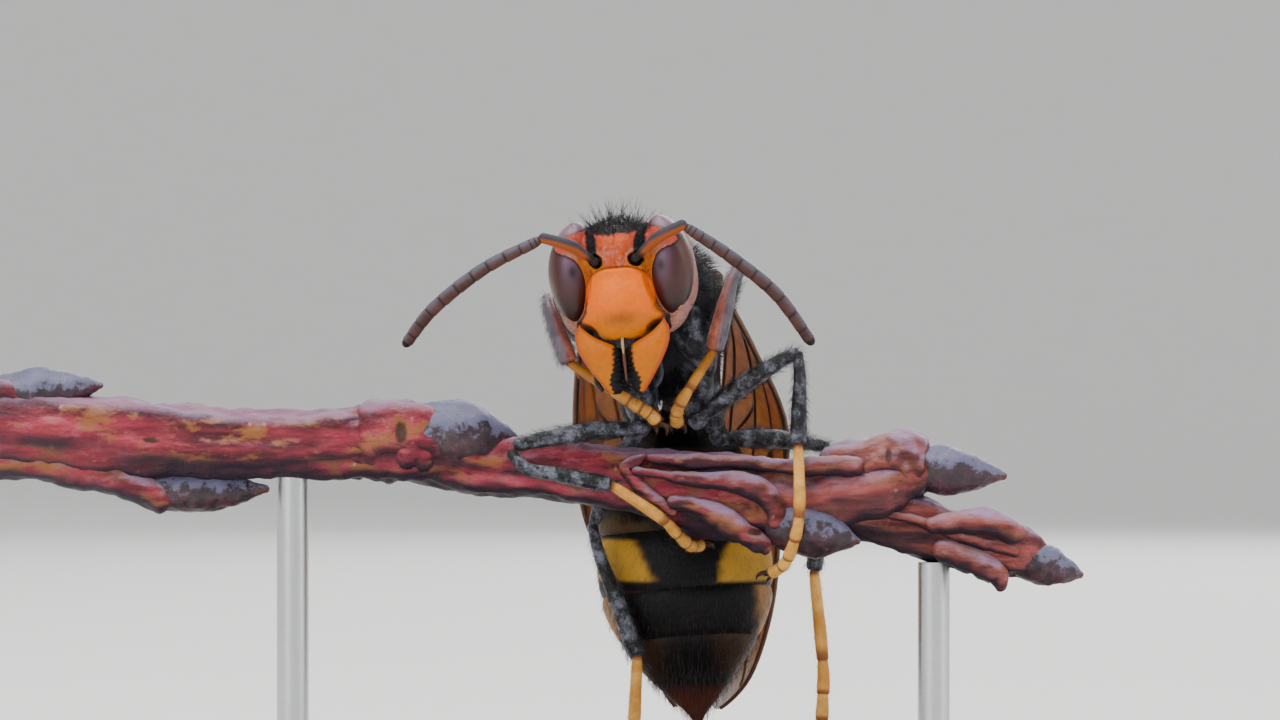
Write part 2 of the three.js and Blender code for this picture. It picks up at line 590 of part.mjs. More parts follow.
const HINDWINGS = {
  left: {
    lead: [[3.0, 4.9, 1.6], [2.95, 7.6, -0.6], [3.2, 9.75, -3.2], [3.0, 10.2, -6.3], [2.7, 10.1, -9.0]],
    fold: [[2.3, 5.6, 1.5], [2.2, 8.4, -0.6], [2.0, 10.1, -3.2], [1.95, 10.5, -6.3], [2.3, 10.2, -8.9]],
  },
  right: {
    lead: [[-1.4, 5.1, 1.5], [-0.6, 7.8, -0.6], [-0.1, 9.75, -3.2], [0.3, 10.2, -6.3], [0.95, 10.1, -9.0]],
    fold: [[-0.7, 5.8, 1.4], [0.3, 8.6, -0.6], [1.1, 10.1, -3.2], [1.3, 10.5, -6.3], [1.4, 10.2, -8.9]],
  },
};

// veins are the lines along the wing that stand proud, cross those across it between the second and the last.
const FOREWING_FORM = { steps: [16, 6], arch: 0.55, veins: [0, 2, 4, 6], cross: [8, 10, 13] };
const HINDWING_FORM = { steps: [9, 4], arch: 0.1, veins: [0, 2, 4], cross: [5] };

function wingShape(edges, side, { steps, arch, veins, cross }, swell) {
  const lead = new THREE.CatmullRomCurve3(edges.lead.map(vec), false, 'centripetal');
  const fold = new THREE.CatmullRomCurve3(edges.fold.map(vec), false, 'centripetal');
  const out = new THREE.Vector3(side * 0.75, 0.65, 0);
  const [lengthSteps, widthSteps] = steps;
  const surface = (t, v) => {
    const [front, back] = [lead.getPointAt(t), fold.getPointAt(t)];
    const wider = 1 + (2 * swell) / front.distanceTo(back);
    const across = 0.5 + ((side > 0 ? v : 1 - v) - 0.5) * wider;
    const rise = arch * Math.sin(Math.PI * v) * Math.sin(Math.PI * Math.min(1, t * 1.2 + 0.1));
    return front.lerp(back, across).addScaledVector(out, rise);
  };
  const raise = (i, j) => {
    const line = side > 0 ? j : widthSteps - j;
    const isVein = veins.includes(line) || (cross.includes(i) && line > 1 && line < veins.at(-1));
    return isVein && i < lengthSteps ? VEIN_RISE : 0;
  };
  return solid(vane(lengthSteps, widthSteps, surface, raise, swell));
}

function addWings() {
  const body = thoraxShape(GAP);
  for (const [name, side] of Object.entries(SIDES)) {
    const fore = wingShape(FOREWINGS[name], side, FOREWING_FORM, 0);
    const hind = wingShape(HINDWINGS[name], side, HINDWING_FORM, 0);
    const foreWithGap = wingShape(FOREWINGS[name], side, FOREWING_FORM, GAP);
    hornet.add(meshOf(`forewing_${name}`, without(fore, body), FINISH.wing));
    hornet.add(meshOf(`hindwing_${name}`, without(hind, body, foreWithGap), FINISH.wing));
  }
}

// Twig: a stem that tapers to the tip, with buds, spurs and a lower branch.
const STEM = [
  [TWIG_CUT_END, -2.5, 1.48], [-20, -2.85, 1.45], [-16, -3.15, 1.36], [-12, -3.2, 1.26], [-8.6, -3.0, 1.5],
  [-6, -3.85, 1.15], [-3.6, -4.0, 1.12], [0, -4.6, 1.18], [3.4, -5.1, 1.5], [6, -5.3, 1.5], [9, -4.6, 1.45],
  [10.6, -4.1, 0.9],
];
const BUDS = [
  { root: [-8.0, -0.2, -2.7], tip: [-4.5, -0.1, -3.1], radius: 1.35 },
  { root: [-19.5, 0, -4.1], tip: [-14.4, 0, -4.75], radius: 1.0 },
  { root: [-24.2, 0, -1.4], tip: [-20.2, 0, -0.9], radius: 0.95 },
  { root: [9.7, 0, -3.7], tip: [13.6, -0.1, -4.35], radius: 1.15 },
  { root: [4.6, 0, -5.7], tip: [8.2, 0, -6.6], radius: 1.2 },
];
const LOWER_BRANCH = [
  [6.4, 0.2, -5.4], [9.6, 0.2, -6.2], [12.6, 0.1, -7.0], [14.4, 0, -7.4], [16.1, 0, -8.0],
];

function twigShape() {
  const stem = limb(
    STEM.map(([x, z]) => [x, TWIG_DEPTH, z]),
    STEM.map((point) => point[2]),
    { sides: 10, steps: 20, roundness: 0.12, lie: [0, 1, 0] },
  );
  const pieces = [stem];
  for (const { root, tip, radius } of BUDS) {
    const places = [root, vec(root).lerp(vec(tip), 0.45).toArray(), tip];
    const path = places.map(([x, y, z]) => [x, y + TWIG_DEPTH, z]);
    pieces.push(limb(path, [radius * 0.85, radius, 0.25], { sides: 7, steps: 4, lie: [0, 1, 0] }));
  }
  const branch = LOWER_BRANCH.map(([x, y, z]) => [x, y + TWIG_DEPTH, z]);
  pieces.push(limb(branch, [1.2, 1.15, 1.1, 0.95, 0.5], { sides: 9, steps: 8, lie: [0, 1, 0] }));
  return joined(...pieces);
}

function addPerchAndStand() {
  perch.add(meshOf('perch_twig', twigShape(), FINISH.bark));
  const [length, width, height] = BASE_SIZE;
  const outline = new THREE.Shape();
  const cornerX = length / 2 - BASE_CORNER;
  const cornerY = width / 2 - BASE_CORNER;
  outline.moveTo(cornerX, -width / 2);
  const corners = [[cornerX, -cornerY], [cornerX, cornerY], [-cornerX, cornerY], [-cornerX, -cornerY]];
  corners.forEach(([x, y], i) => {
    outline.absarc(x, y, BASE_CORNER, ((i - 1) * Math.PI) / 2, (i * Math.PI) / 2);
  });
  const plate = new THREE.ExtrudeGeometry(outline, {
    depth: height - 2 * BASE_BEVEL,
    bevelThickness: BASE_BEVEL,
    bevelSize: BASE_BEVEL,
    bevelOffset: -BASE_BEVEL,
    bevelSegments: 1,
    curveSegments: 4,
  }).translate(0, 0, BASE_BEVEL);
  stand.add(meshOf('stand_base', solid(plate), FINISH.wood));
  const floorLevel = -TWIG_HEIGHT_OVER_FLOOR;
  const twigUnder = (x) => twigShape().intersect(joined(ellipsoid([x, TWIG_DEPTH, -6], [0.7, 0.7, 8])));
  ROD_PLACES.forEach((x, i) => {
    const top = twigUnder(x).boundingBox().min[2] - GAP;
    const bottom = floorLevel + height + GAP;
    const rod = new THREE.CylinderGeometry(ROD_RADIUS, ROD_RADIUS, top - bottom, 14);
    rod.rotateX(Math.PI / 2).translate(x, TWIG_DEPTH, (top + bottom) / 2);
    perch.add(meshOf(i === 0 ? 'stand_rod_right' : 'stand_rod_left', solid(rod), FINISH.steel));
  });
}

addHead();
addFeelers();
addThorax();
addWaist();
addGaster();
addLegs();
addWings();
addPerchAndStand();

for (const group of [hornet, perch]) {
  group.position.set(-BASE_MIDDLE[0], -BASE_MIDDLE[1], TWIG_HEIGHT_OVER_FLOOR);
}

const part = new THREE.Group();
part.add(hornet, perch, stand);

export default part;
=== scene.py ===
import json
import math

import bmesh
import bpy
import numpy as np
from mathutils import Matrix, Vector, noise

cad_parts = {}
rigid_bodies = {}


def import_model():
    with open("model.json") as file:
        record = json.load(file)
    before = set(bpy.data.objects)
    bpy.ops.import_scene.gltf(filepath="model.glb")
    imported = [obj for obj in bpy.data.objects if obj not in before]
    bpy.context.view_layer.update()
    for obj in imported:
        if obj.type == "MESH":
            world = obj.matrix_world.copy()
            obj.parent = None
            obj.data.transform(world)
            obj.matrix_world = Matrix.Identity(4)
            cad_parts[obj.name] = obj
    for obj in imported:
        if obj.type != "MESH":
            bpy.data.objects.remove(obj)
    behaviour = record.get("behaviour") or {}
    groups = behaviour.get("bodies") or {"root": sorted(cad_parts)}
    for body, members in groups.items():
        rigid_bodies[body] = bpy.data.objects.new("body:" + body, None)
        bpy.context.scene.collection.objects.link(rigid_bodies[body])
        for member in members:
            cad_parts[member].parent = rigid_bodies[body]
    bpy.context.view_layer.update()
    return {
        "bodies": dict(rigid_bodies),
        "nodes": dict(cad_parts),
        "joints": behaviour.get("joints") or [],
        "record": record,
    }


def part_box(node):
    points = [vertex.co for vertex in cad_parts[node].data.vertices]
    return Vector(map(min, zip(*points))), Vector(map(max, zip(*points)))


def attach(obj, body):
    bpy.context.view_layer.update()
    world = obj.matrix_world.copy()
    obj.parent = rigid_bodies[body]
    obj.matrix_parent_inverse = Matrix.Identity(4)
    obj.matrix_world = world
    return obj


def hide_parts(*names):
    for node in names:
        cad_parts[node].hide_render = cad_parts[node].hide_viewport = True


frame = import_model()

# STUDIO
# A pale round studio floor that curls up into a wall, so the model has the same plain ground from every side.
# Soft boxes hang over the model and in front of it, and the camera looks level at the hornet's face.
CAMERA_PLACE = (0.001, -0.2035, 0.0202)
CAMERA_LENS = 151.875
LIT_POINT = (0.001, 0.0, 0.016)
FLAT_RADIUS = 0.45
STUDIO_RADIUS = 0.75
WALL_HEIGHT = 0.9
CURL_STEPS = 12


def soft_box(name, place, aim, size, watts, colour):
    """Hangs a square lamp that faces a point and isn't seen itself."""
    lamp = bpy.data.lights.new(name, "AREA")
    lamp.size = size
    lamp.energy = watts
    lamp.color = colour
    box = bpy.data.objects.new(name, lamp)
    turned = (Vector(aim) - Vector(place)).to_track_quat("-Z", "Y").to_matrix().to_4x4()
    box.matrix_world = Matrix.Translation(place) @ turned
    box.visible_camera = False
    bpy.context.scene.collection.objects.link(box)


camera = bpy.data.objects.new("camera", bpy.data.cameras.new("camera"))
camera.location = CAMERA_PLACE
camera.rotation_euler = (math.pi / 2, 0, 0)
camera.data.sensor_width = 36
camera.data.lens = CAMERA_LENS
camera.data.clip_start = 0.005
bpy.context.scene.collection.objects.link(camera)
bpy.context.scene.camera = camera

soft_box("overhead_box", (-0.06, -0.05, 0.34), LIT_POINT, 0.30, 1.8, (1.0, 0.99, 0.97))
soft_box("front_box", (-0.24, -0.34, 0.16), LIT_POINT, 0.22, 0.55, (1.0, 0.97, 0.93))
soft_box("side_box", (0.33, -0.10, 0.13), LIT_POINT, 0.22, 0.40, (0.94, 0.97, 1.0))
soft_box("back_box", (0.10, 0.34, 0.20), LIT_POINT, 0.24, 0.70, (1.0, 1.0, 1.0))
world = bpy.data.worlds.new("studio_air")
world.use_nodes = True
sky = world.node_tree.nodes["Background"]
sky.inputs["Color"].default_value = (0.86, 0.9, 0.95, 1)
sky.inputs["Strength"].default_value = 0.34
bpy.context.scene.world = world


class Wire:
    """An output of a material's nodes. Sums on wires add Math nodes, and the methods add the others."""

    def __init__(self, tree, socket=None):
        self.tree = tree
        self.socket = socket

    def node(self, kind, settings, sockets, output=0):
        """Adds a node, sets it, and fills its inputs from wires or plain values."""
        made = self.tree.nodes.new(kind)
        for name, value in settings.items():
            setattr(made, name, value)
        for name, value in sockets.items():
            if isinstance(value, Wire):
                self.tree.links.new(value.socket, made.inputs[name])
            else:
                made.inputs[name].default_value = value
        return Wire(self.tree, made.outputs[output])

    def sum(self, operation, *values):
        return self.node("ShaderNodeMath", {"operation": operation}, dict(enumerate(values)))

    def __add__(self, other):
        return self.sum("ADD", self, other)

    def __sub__(self, other):
        return self.sum("SUBTRACT", self, other)

    def __rsub__(self, other):
        return self.sum("SUBTRACT", other, self)

    def __mul__(self, other):
        return self.sum("MULTIPLY", self, other)

    __radd__ = __add__

    def rise(self, low, high):
        """0 below low, 1 above high, and a soft step between them."""
        return self.node("ShaderNodeMapRange", {"interpolation_type": "SMOOTHSTEP"},
                         {"Value": self, "From Min": low, "From Max": high})

    def tint(self, under, over):
        """The colour under where this is 0, and over where it is 1."""
        return self.node("ShaderNodeMix", {"data_type": "RGBA"}, {0: self, 6: under, 7: over}, output=2)

    def scaled(self, size, stretch):
        """This vector in units of size, and drawn out or pressed along each axis."""
        return self.node("ShaderNodeMapping", {}, {"Vector": self, "Scale": tuple(s / size for s in stretch)})

    def brighter(self, times):
        """This colour, made so many times as bright."""
        return self.node("ShaderNodeHueSaturation", {}, {"Value": times, "Color": self})

    def grain(self, size, stretch=(1, 1, 1), detail=4.0, rough=0.55):
        """Soft random spots about size across, in the units of this vector."""
        return self.node("ShaderNodeTexNoise", {}, {"Vector": self.scaled(size, stretch), "Scale": 1.0,
                                                    "Detail": detail, "Roughness": rough})

    def cells(self, size, stretch=(1, 1, 1)):
        """Distances to scattered points about size apart, in the units of this vector."""
        return self.node("ShaderNodeTexVoronoi", {}, {"Vector": self.scaled(size, stretch), "Scale": 1.0})

    def axis(self, number):
        """One of the three numbers of this vector."""
        return self.node("ShaderNodeSeparateXYZ", {}, {0: self}, output=number)

    def upward(self):
        """1 where the surface faces up, 0 where it stands and -1 where it faces down."""
        return self.node("ShaderNodeNewGeometry", {}, {}, output="Normal").axis(2)

    def kept(self, name, output="Fac"):
        """What the mesh keeps at each of its points under this name."""
        return self.node("ShaderNodeAttribute", {"attribute_name": name}, {}, output)


def start_finish(name):
    """A bare material, and the wire that gives a point's place on the model in metres."""
    made = bpy.data.materials.new(name)
    made.use_nodes = True
    return made, Wire(made.node_tree).node("ShaderNodeTexCoord", {}, {}, output="Object")


def shade(made, place, colour, roughness, height=None, depth=0.00002, extras=None):
    """Wires a finish into a material's surface. height is a relief that is depth metres high."""
    surface = made.node_tree.nodes["Principled BSDF"]
    values = {"Base Color": colour, "Roughness": roughness, **(extras or {})}
    if height is not None:
        values["Normal"] = place.node("ShaderNodeBump", {}, {"Height": height, "Distance": depth})
    for name, value in values.items():
        if isinstance(value, Wire):
            made.node_tree.links.new(value.socket, surface.inputs[name])
        else:
            surface.inputs[name].default_value = value


def edges_among(verts):
    """The edges that join points of this set, each once."""
    own = set(verts)
    touching = (edge for vert in verts for edge in vert.link_edges)
    return list(dict.fromkeys(edge for edge in touching if own.issuperset(edge.verts)))


def grown_points(bm, edges):
    """Extrudes edges, and gives the new points, which still lie on the old ones."""
    grown = bmesh.ops.extrude_edge_only(bm, edges=edges)["geom"]
    return [item for item in grown if isinstance(item, bmesh.types.BMVert)]


def draw_rim(bm, rim, radius, height):
    """Draws a round rim out to a radius and up to a height, and gives the new rim."""
    verts = grown_points(bm, rim)
    for vert in verts:
        flat = Vector((vert.co.x, vert.co.y, 0)).normalized() * radius
        vert.co = (flat.x, flat.y, height)
    return edges_among(verts)


def studio_floor():
    """A wide disc whose rim is drawn out and up, ring by ring, into a round wall."""
    bm = bmesh.new()
    bmesh.ops.create_circle(bm, cap_ends=True, segments=96, radius=FLAT_RADIUS)
    rim = [edge for edge in bm.edges if edge.is_boundary]
    curl = STUDIO_RADIUS - FLAT_RADIUS
    for turn in range(1, CURL_STEPS + 1):
        angle = turn * math.pi / (2 * CURL_STEPS)
        rim = draw_rim(bm, rim, FLAT_RADIUS + curl * math.sin(angle), curl * (1 - math.cos(angle)))
    draw_rim(bm, rim, STUDIO_RADIUS, WALL_HEIGHT)
    return bm


paper, place = start_finish("studio_paper")
fibre = place.grain(0.004)
shade(paper, place, fibre.tint((0.90, 0.895, 0.885, 1), (0.925, 0.92, 0.91, 1)), 0.9)
bm = studio_floor()
bmesh.ops.recalc_face_normals(bm, faces=bm.faces)
bmesh.ops.reverse_faces(bm, faces=bm.faces)
floor_mesh = bpy.data.meshes.new("studio_floor")
bm.to_mesh(floor_mesh)
bm.free()
floor_mesh.materials.append(paper)
floor_mesh.shade_smooth()
floor = bpy.data.objects.new("studio_floor", floor_mesh)
bpy.context.scene.collection.objects.link(floor)

# DISPLAY BASE
# A small plate of dark stained hardwood with rounded corners and an eased upper edge. It is cut, sanded
# and oiled, and its grain runs the long way.
MM = 0.001
CORNER_RADIUS = 3.0
TOP_EDGE = 0.45
FOOT_EDGE = 0.2


def put(name, bm, finish, replaces=(), frame=Matrix()):
    """Puts a form made in millimetres in its place in the model, as a piece that rides on the whole."""
    place = bm.verts.layers.float_vector.get("place") or bm.verts.layers.float_vector.new("place")
    for vert in bm.verts:
        vert[place] = vert.co
    bmesh.ops.recalc_face_normals(bm, faces=bm.faces)
    bmesh.ops.transform(bm, matrix=Matrix.Scale(MM, 4) @ frame, verts=bm.verts)
    mesh = bpy.data.meshes.new(name)
    bm.to_mesh(mesh)
    bm.free()
    mesh.materials.append(finish)
    mesh.shade_smooth()
    made = bpy.data.objects.new(name, mesh)
    bpy.context.scene.collection.objects.link(made)
    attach(made, "root")
    if replaces:
        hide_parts(*replaces)
    return made


def crease(piece, degrees):
    """Keeps edges sharper than this angle crisp under smooth shading."""
    piece.data.set_sharp_from_angle(angle=math.radians(degrees))


def rounded(bm, edges, radius, segments):
    """Rounds edges off."""
    bmesh.ops.bevel(bm, geom=edges, offset=radius, segments=segments, profile=0.5, affect="EDGES",
                    material=-1)


def level_edges(bm):
    """The edges whose two ends are at one height."""
    return [edge for edge in bm.edges if edge.verts[0].co.z == edge.verts[1].co.z]


low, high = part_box("stand_base")
walnut, place = start_finish("oiled_walnut")
streak = place.grain(0.0016, stretch=(0.12, 1, 1), detail=6)
pores = place.grain(0.00035, stretch=(0.08, 1, 1), detail=3)
warm = (streak * 0.7 + pores * 0.5).rise(0.42, 0.78)
wood_colour = warm.tint((0.035, 0.017, 0.010, 1), (0.135, 0.068, 0.036, 1))
shade(walnut, place, wood_colour, 0.34 + pores * 0.25, pores.rise(0.35, 0.6) + streak * 0.4, 0.00004,
      {"Coat Weight": 0.25, "Coat Roughness": 0.25})
bm = bmesh.new()
bmesh.ops.create_cube(bm, size=1)
bmesh.ops.scale(bm, vec=(high - low) / MM, verts=bm.verts)
bmesh.ops.translate(bm, vec=(low + high) / 2 / MM, verts=bm.verts)
uprights = [edge for edge in bm.edges if abs(edge.verts[0].co.z - edge.verts[1].co.z) > 1]
rounded(bm, uprights, CORNER_RADIUS, 10)
rounded(bm, [edge for edge in level_edges(bm) if edge.verts[0].co.z > 1], TOP_EDGE, 4)
rounded(bm, [edge for edge in level_edges(bm) if edge.verts[0].co.z < 0.1], FOOT_EDGE, 2)
crease(put("display_base", bm, walnut, ["stand_base"]), 30)

# STAND RODS
# Two thin rods of brushed steel stand in the base, each in a small turned collar, and hold the twig from
# below. Their tops are pushed a little way into its underside.
ROD_RADIUS = 0.6
ROD_IN_BASE = 0.4
ROD_IN_TWIG = 0.6
COLLAR_RADII = (1.35, 1.15)
COLLAR_HEIGHT = 0.7
COLLAR_MIDDLE = 0.34

steel, place = start_finish("brushed_steel")
brushing = place.grain(0.0006, stretch=(1, 1, 14), detail=3)
shade(steel, place, brushing.tint((0.50, 0.51, 0.53, 1), (0.66, 0.67, 0.69, 1)), 0.24 + brushing * 0.16,
      brushing, 0.000004, {"Metallic": 1.0})
for side in ("left", "right"):
    rod_low, rod_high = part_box(f"stand_rod_{side}")
    middle = (rod_low + rod_high) / 2 / MM
    rod_foot = high.z / MM - ROD_IN_BASE
    rod_top = rod_high.z / MM + ROD_IN_TWIG
    bm = bmesh.new()
    bmesh.ops.create_cone(bm, cap_ends=True, segments=40, radius1=ROD_RADIUS, radius2=ROD_RADIUS,
                          depth=rod_top - rod_foot)
    bmesh.ops.translate(bm, vec=(middle.x, middle.y, (rod_top + rod_foot) / 2), verts=bm.verts)
    crease(put(f"rod_{side}", bm, steel, [f"stand_rod_{side}"]), 40)
    bm = bmesh.new()
    bmesh.ops.create_cone(bm, cap_ends=True, segments=40, radius1=COLLAR_RADII[0], radius2=COLLAR_RADII[1],
                          depth=COLLAR_HEIGHT)
    bmesh.ops.translate(bm, vec=(middle.x, middle.y, high.z / MM + COLLAR_MIDDLE), verts=bm.verts)
    rounded(bm, [edge for edge in bm.edges if edge.calc_face_angle(0) > 1], 0.12, 3)
    crease(put(f"rod_collar_{side}", bm, steel), 40)

# TWIG
# A cut length of a budded twig: crimson bark, ridged and folded lengthways, with a lilac bloom on its upper
# side that is partly painted sky reflection, painted shade on its underside, leaf scars, swollen nodes and
# waxy buds whose pale crust is partly painted highlight. It is dried and kept whole, and its near end is sawn
# square.
PERCH = Matrix.Translation((1.0, -3.5, 20.2))  # twig and hornet are drawn in mm from a point by the jaws
TWIG_DEPTH = 2.2
# The stem's x, z and radius, the branch's x, y, z and radius, and each bud's root, tip and radius.
STEM = [(-25, -2.5, 1.48), (-20, -2.85, 1.45), (-16, -3.15, 1.36), (-12, -3.2, 1.26), (-8.6, -3.0, 1.5),
        (-6, -3.85, 1.15), (-3.6, -4.0, 1.12), (0, -4.6, 1.18), (3.4, -5.1, 1.5), (6, -5.3, 1.5),
        (9, -4.6, 1.45), (10.6, -4.1, 0.9)]
LOWER_BRANCH = [(6.4, 0.2, -5.3, 1.15), (9.6, 0.2, -6.0, 1.1), (12.2, 0.1, -6.8, 1.0), (13.9, 0, -7.2, 0.9),
                (15.0, 0, -7.5, 0.6)]
BUDS = {
    "middle": ((-8.0, -0.2, -2.7), (-4.5, -0.1, -3.1), 1.35),
    "near_lower": ((-18.0, -0.1, -4.95), (-14.0, -0.1, -4.85), 0.78),
    "near_upper": ((-24.2, 0, -1.5), (-20.2, 0, -0.95), 0.95),
    "far_upper": ((10.0, 0, -4.0), (13.6, -0.1, -4.35), 0.92),
    "far_lower": ((5.1, -0.9, -6.1), (8.1, -0.9, -6.75), 0.98),
    "end": ((14.1, 0, -7.35), (16.5, 0, -8.05), 0.78),
}
# Each fold of bark on the near side: its y, its x and z along the way, and its radii.
FOLDS = [
    (0.75, [(0.1, -3.6), (-0.5, -4.0), (-0.25, -4.45), (0.45, -5.1), (1.2, -5.7)],
     [0.16, 0.24, 0.22, 0.24, 0.14]),
    (0.62, [(-0.2, -4.15), (1.0, -4.3), (2.3, -4.45), (3.6, -4.55), (4.45, -4.9), (4.95, -5.45),
            (5.05, -6.1)], [0.15, 0.2, 0.28, 0.42, 0.5, 0.48, 0.3]),
    (0.68, [(1.2, -5.3), (2.0, -5.42), (2.95, -5.8), (3.75, -6.3), (4.45, -6.8), (4.7, -7.05)],
     [0.2, 0.34, 0.46, 0.5, 0.42, 0.25]),
    (0.95, [(0.3, -3.65), (1.8, -3.75), (3.6, -3.8), (5.6, -3.95), (8.0, -3.95)],
     [0.18, 0.26, 0.28, 0.3, 0.4]),
    (1.15, [(10.9, -6.2), (12.2, -5.98), (13.2, -6.1), (14.0, -6.5)], [0.36, 0.52, 0.52, 0.42]),
    (1.35, [(8.5, -5.6), (10.5, -6.1), (12.5, -6.75), (14.0, -7.2)], [0.15, 0.22, 0.24, 0.2]),
    (1.3, [(11.2, -7.05), (12.5, -7.55), (13.3, -8.0), (13.45, -8.5)], [0.4, 0.5, 0.42, 0.2]),
    (1.8, [(-24.5, -3.9), (-22.5, -3.95), (-20.3, -4.25), (-18.7, -4.8), (-17.9, -5.35)],
     [0.6, 0.6, 0.64, 0.62, 0.45]),
]
# Each swollen node is its x, y, z, half length and radius, and each leaf scar its x, z and half sizes.
NODES = [(-9.3, 0, -3.0, 1.2, 1.55), (4.4, 0.2, -5.6, 2.2, 1.25), (13.4, 0, -7.1, 1.2, 0.95)]
LEAF_SCARS = [(9.25, -3.56, 0.16, 0.34), (4.3, -6.35, 0.34, 0.16), (-8.9, -2.7, 0.3, 0.5),
              (-18.2, -3.0, 0.4, 0.12)]
SCAR_DEPTH = 0.16
CUT_X = -25.05


def between(values, part):
    """A smooth reading between evenly spaced values, at part 0 to 1 of the way."""
    spot = min(max(part, 0), 1) * (len(values) - 1)
    low = min(int(spot), len(values) - 2)
    t = spot - low
    a, b, c, d = (values[min(max(low + k, 0), len(values) - 1)] for k in (-1, 0, 1, 2))
    return 0.5 * (2 * b + t * (c - a + t * (2 * a - 5 * b + 4 * c - d + t * (3 * b - a - 3 * c + d))))


def sweep(bm, path, radii, sides=20, steps=24, lie=(0, 0, 1), flat=1.0, ends=(0.8, 0.8), form=None):
    """Extrudes a ring along a smooth path through places, and closes both ends. radii are spaced evenly along
    it, ends are the lengths of the round ends in radii, and form(part, turn) swells the ring round it."""
    path = [Vector(point) for point in path]
    floats, vectors = bm.verts.layers.float, bm.verts.layers.float_vector
    along = floats.get("along") or floats.new("along")
    around = floats.get("around") or floats.new("around")
    lay = vectors.get("lie") or vectors.new("lie")
    side = Vector(lie)
    bulge = [(end, math.radians(angle)) for end in (0, 1) for angle in (86, 62, 36, 14)]
    rings = [(0, -ends[0] * math.sin(a), math.cos(a)) for end, a in bulge if end == 0]
    rings += [(i / steps, 0, 1) for i in range(steps + 1)]
    rings += [(1, ends[1] * math.sin(a), math.cos(a)) for end, a in reversed(bulge) if end == 1]
    ring = bmesh.ops.create_circle(bm, segments=sides, radius=1)["verts"]
    for k, vert in enumerate(ring):
        vert[around] = k / sides
    first = ring
    for number, (part, shift, size) in enumerate(rings):
        if number:
            ring = grown_points(bm, edges_among(ring))
        radius = between(radii, part)
        tangent = (between(path, min(part + 0.01, 1)) - between(path, max(part - 0.01, 0))).normalized()
        side = (side - tangent * side.dot(tangent)).normalized()
        across = tangent.cross(side)
        centre = between(path, part) + tangent * radius * shift
        for vert in ring:
            turn = 2 * math.pi * vert[around]
            reach = radius * size * (form(part, turn) if form else 1)
            vert.co = centre + side * math.cos(turn) * reach * flat + across * math.sin(turn) * reach
            vert[along] = part
            vert[lay] = tangent
    for end_ring in (first, ring):
        middle = sum((vert.co for vert in end_ring), Vector()) / sides
        bmesh.ops.pointmerge(bm, verts=end_ring, merge_co=middle)


def rough_up(bm, depth, size, seed=0.0):
    """Pushes points out and in by soft random amounts."""
    bm.normal_update()
    for vert in bm.verts:
        vert.co += vert.normal * depth * noise.noise(vert.co / size + Vector((seed, seed, seed)))


def keep_late(bm, name, first):
    """Keeps a 1 at the points made after the first so many, and a 0 at the others."""
    bm.verts.ensure_lookup_table()
    layer = bm.verts.layers.float.new(name)
    for vert in bm.verts[first:]:
        vert[layer] = 1.0


def ridges(part, turn):
    """Lengthways ridges of the bark, which wander round the stem."""
    drift = 1.1 * math.sin(part * 9) + part * 3
    return 1 + 0.06 * math.sin(3 * turn + drift) + 0.045 * math.sin(7 * turn - 2 * drift)


bark, place = start_finish("crimson_bark")
facing = place.upward()
fold_part = place.kept("fold")
scar_part = place.kept("scar")
long_streak = place.grain(0.0010, stretch=(0.14, 1, 1), detail=5)
fine_streak = place.grain(0.00034, stretch=(0.16, 1, 1), detail=5)
blotch = place.grain(0.0013, stretch=(0.5, 1, 1), detail=5)
mottle = place.grain(0.00038, stretch=(0.45, 1, 1), detail=6, rough=0.62)
scurf = place.grain(0.00016, detail=5)
corky = place.cells(0.00075, stretch=(0.8, 0.7, 0.6))
streaks = (long_streak * 0.6 + fine_streak * 0.4).rise(0.38, 0.64)
crimson = streaks.tint((0.050, 0.004, 0.010, 1), (0.37, 0.030, 0.056, 1))
rosy = (mottle * 0.6 + long_streak * 0.4).rise(0.50, 0.66).tint(crimson, (0.47, 0.100, 0.135, 1))
tan = (mottle * 0.62 + blotch * 0.55).rise(0.585, 0.70).tint(rosy, (0.28, 0.098, 0.026, 1))
far_end = place.axis(0).rise(0.001, 0.008)
brown = streaks.tint((0.060, 0.013, 0.009, 1), (0.30, 0.095, 0.060, 1))
weathered = (far_end * (mottle * 0.5 + 0.32)).tint(tan, brown)
dots = ((0.13 - corky) * 6 + scurf).rise(0.6, 1.1).tint(weathered, (0.42, 0.20, 0.16, 1))
shadow_side = (mottle * 0.5 - facing).rise(0.30, 0.95).tint(dots, (0.022, 0.011, 0.022, 1))
crest = (blotch * 0.6 + mottle * 0.4).rise(0.42, 0.58).tint((0.34, 0.14, 0.080, 1), (0.31, 0.195, 0.34, 1))
# Pale crest colour on the folds, laid most on their upward faces: partly the folds' own colour, partly
# painted highlight.
fold_crest_and_highlight = ((facing * 0.5 + mottle * 0.55 + fine_streak * 0.45) * fold_part).rise(0.45, 1.02)
folded = fold_crest_and_highlight.tint(shadow_side, crest)
# Lilac bloom on the upward faces: partly the twig's own waxy bloom, partly painted sky reflection where the
# bark faces up.
bloom_and_sky_reflection = (facing + mottle * 0.7 + blotch * 0.5 + scurf * 0.35).rise(1.05, 1.95) * 0.72
bloomed_and_reflecting = bloom_and_sky_reflection.tint(folded, (0.31, 0.225, 0.36, 1))
bark_colour = (scar_part * 1.2 + mottle * 0.3).rise(0.55, 1.0).tint(bloomed_and_reflecting, (0.060, 0.020, 0.012, 1))
shade(bark, place, bark_colour, 0.42 + scurf * 0.3, fine_streak * 0.8 + scurf * 0.5 + mottle * 0.9, 0.00012,
      {"Coat Weight": 0.06, "Coat Roughness": 0.3, "Specular IOR Level": 0.32})


def bark_sweep(bm, route, radii, sides, steps, ends=(0.8, 0.8)):
    """A length of ridged bark, through places whose y is 0 in the middle of the twig."""
    sweep(bm, [(x, y + TWIG_DEPTH, z) for x, y, z in route], radii, sides, steps, (0, 1, 0), ends=ends,
          form=ridges)


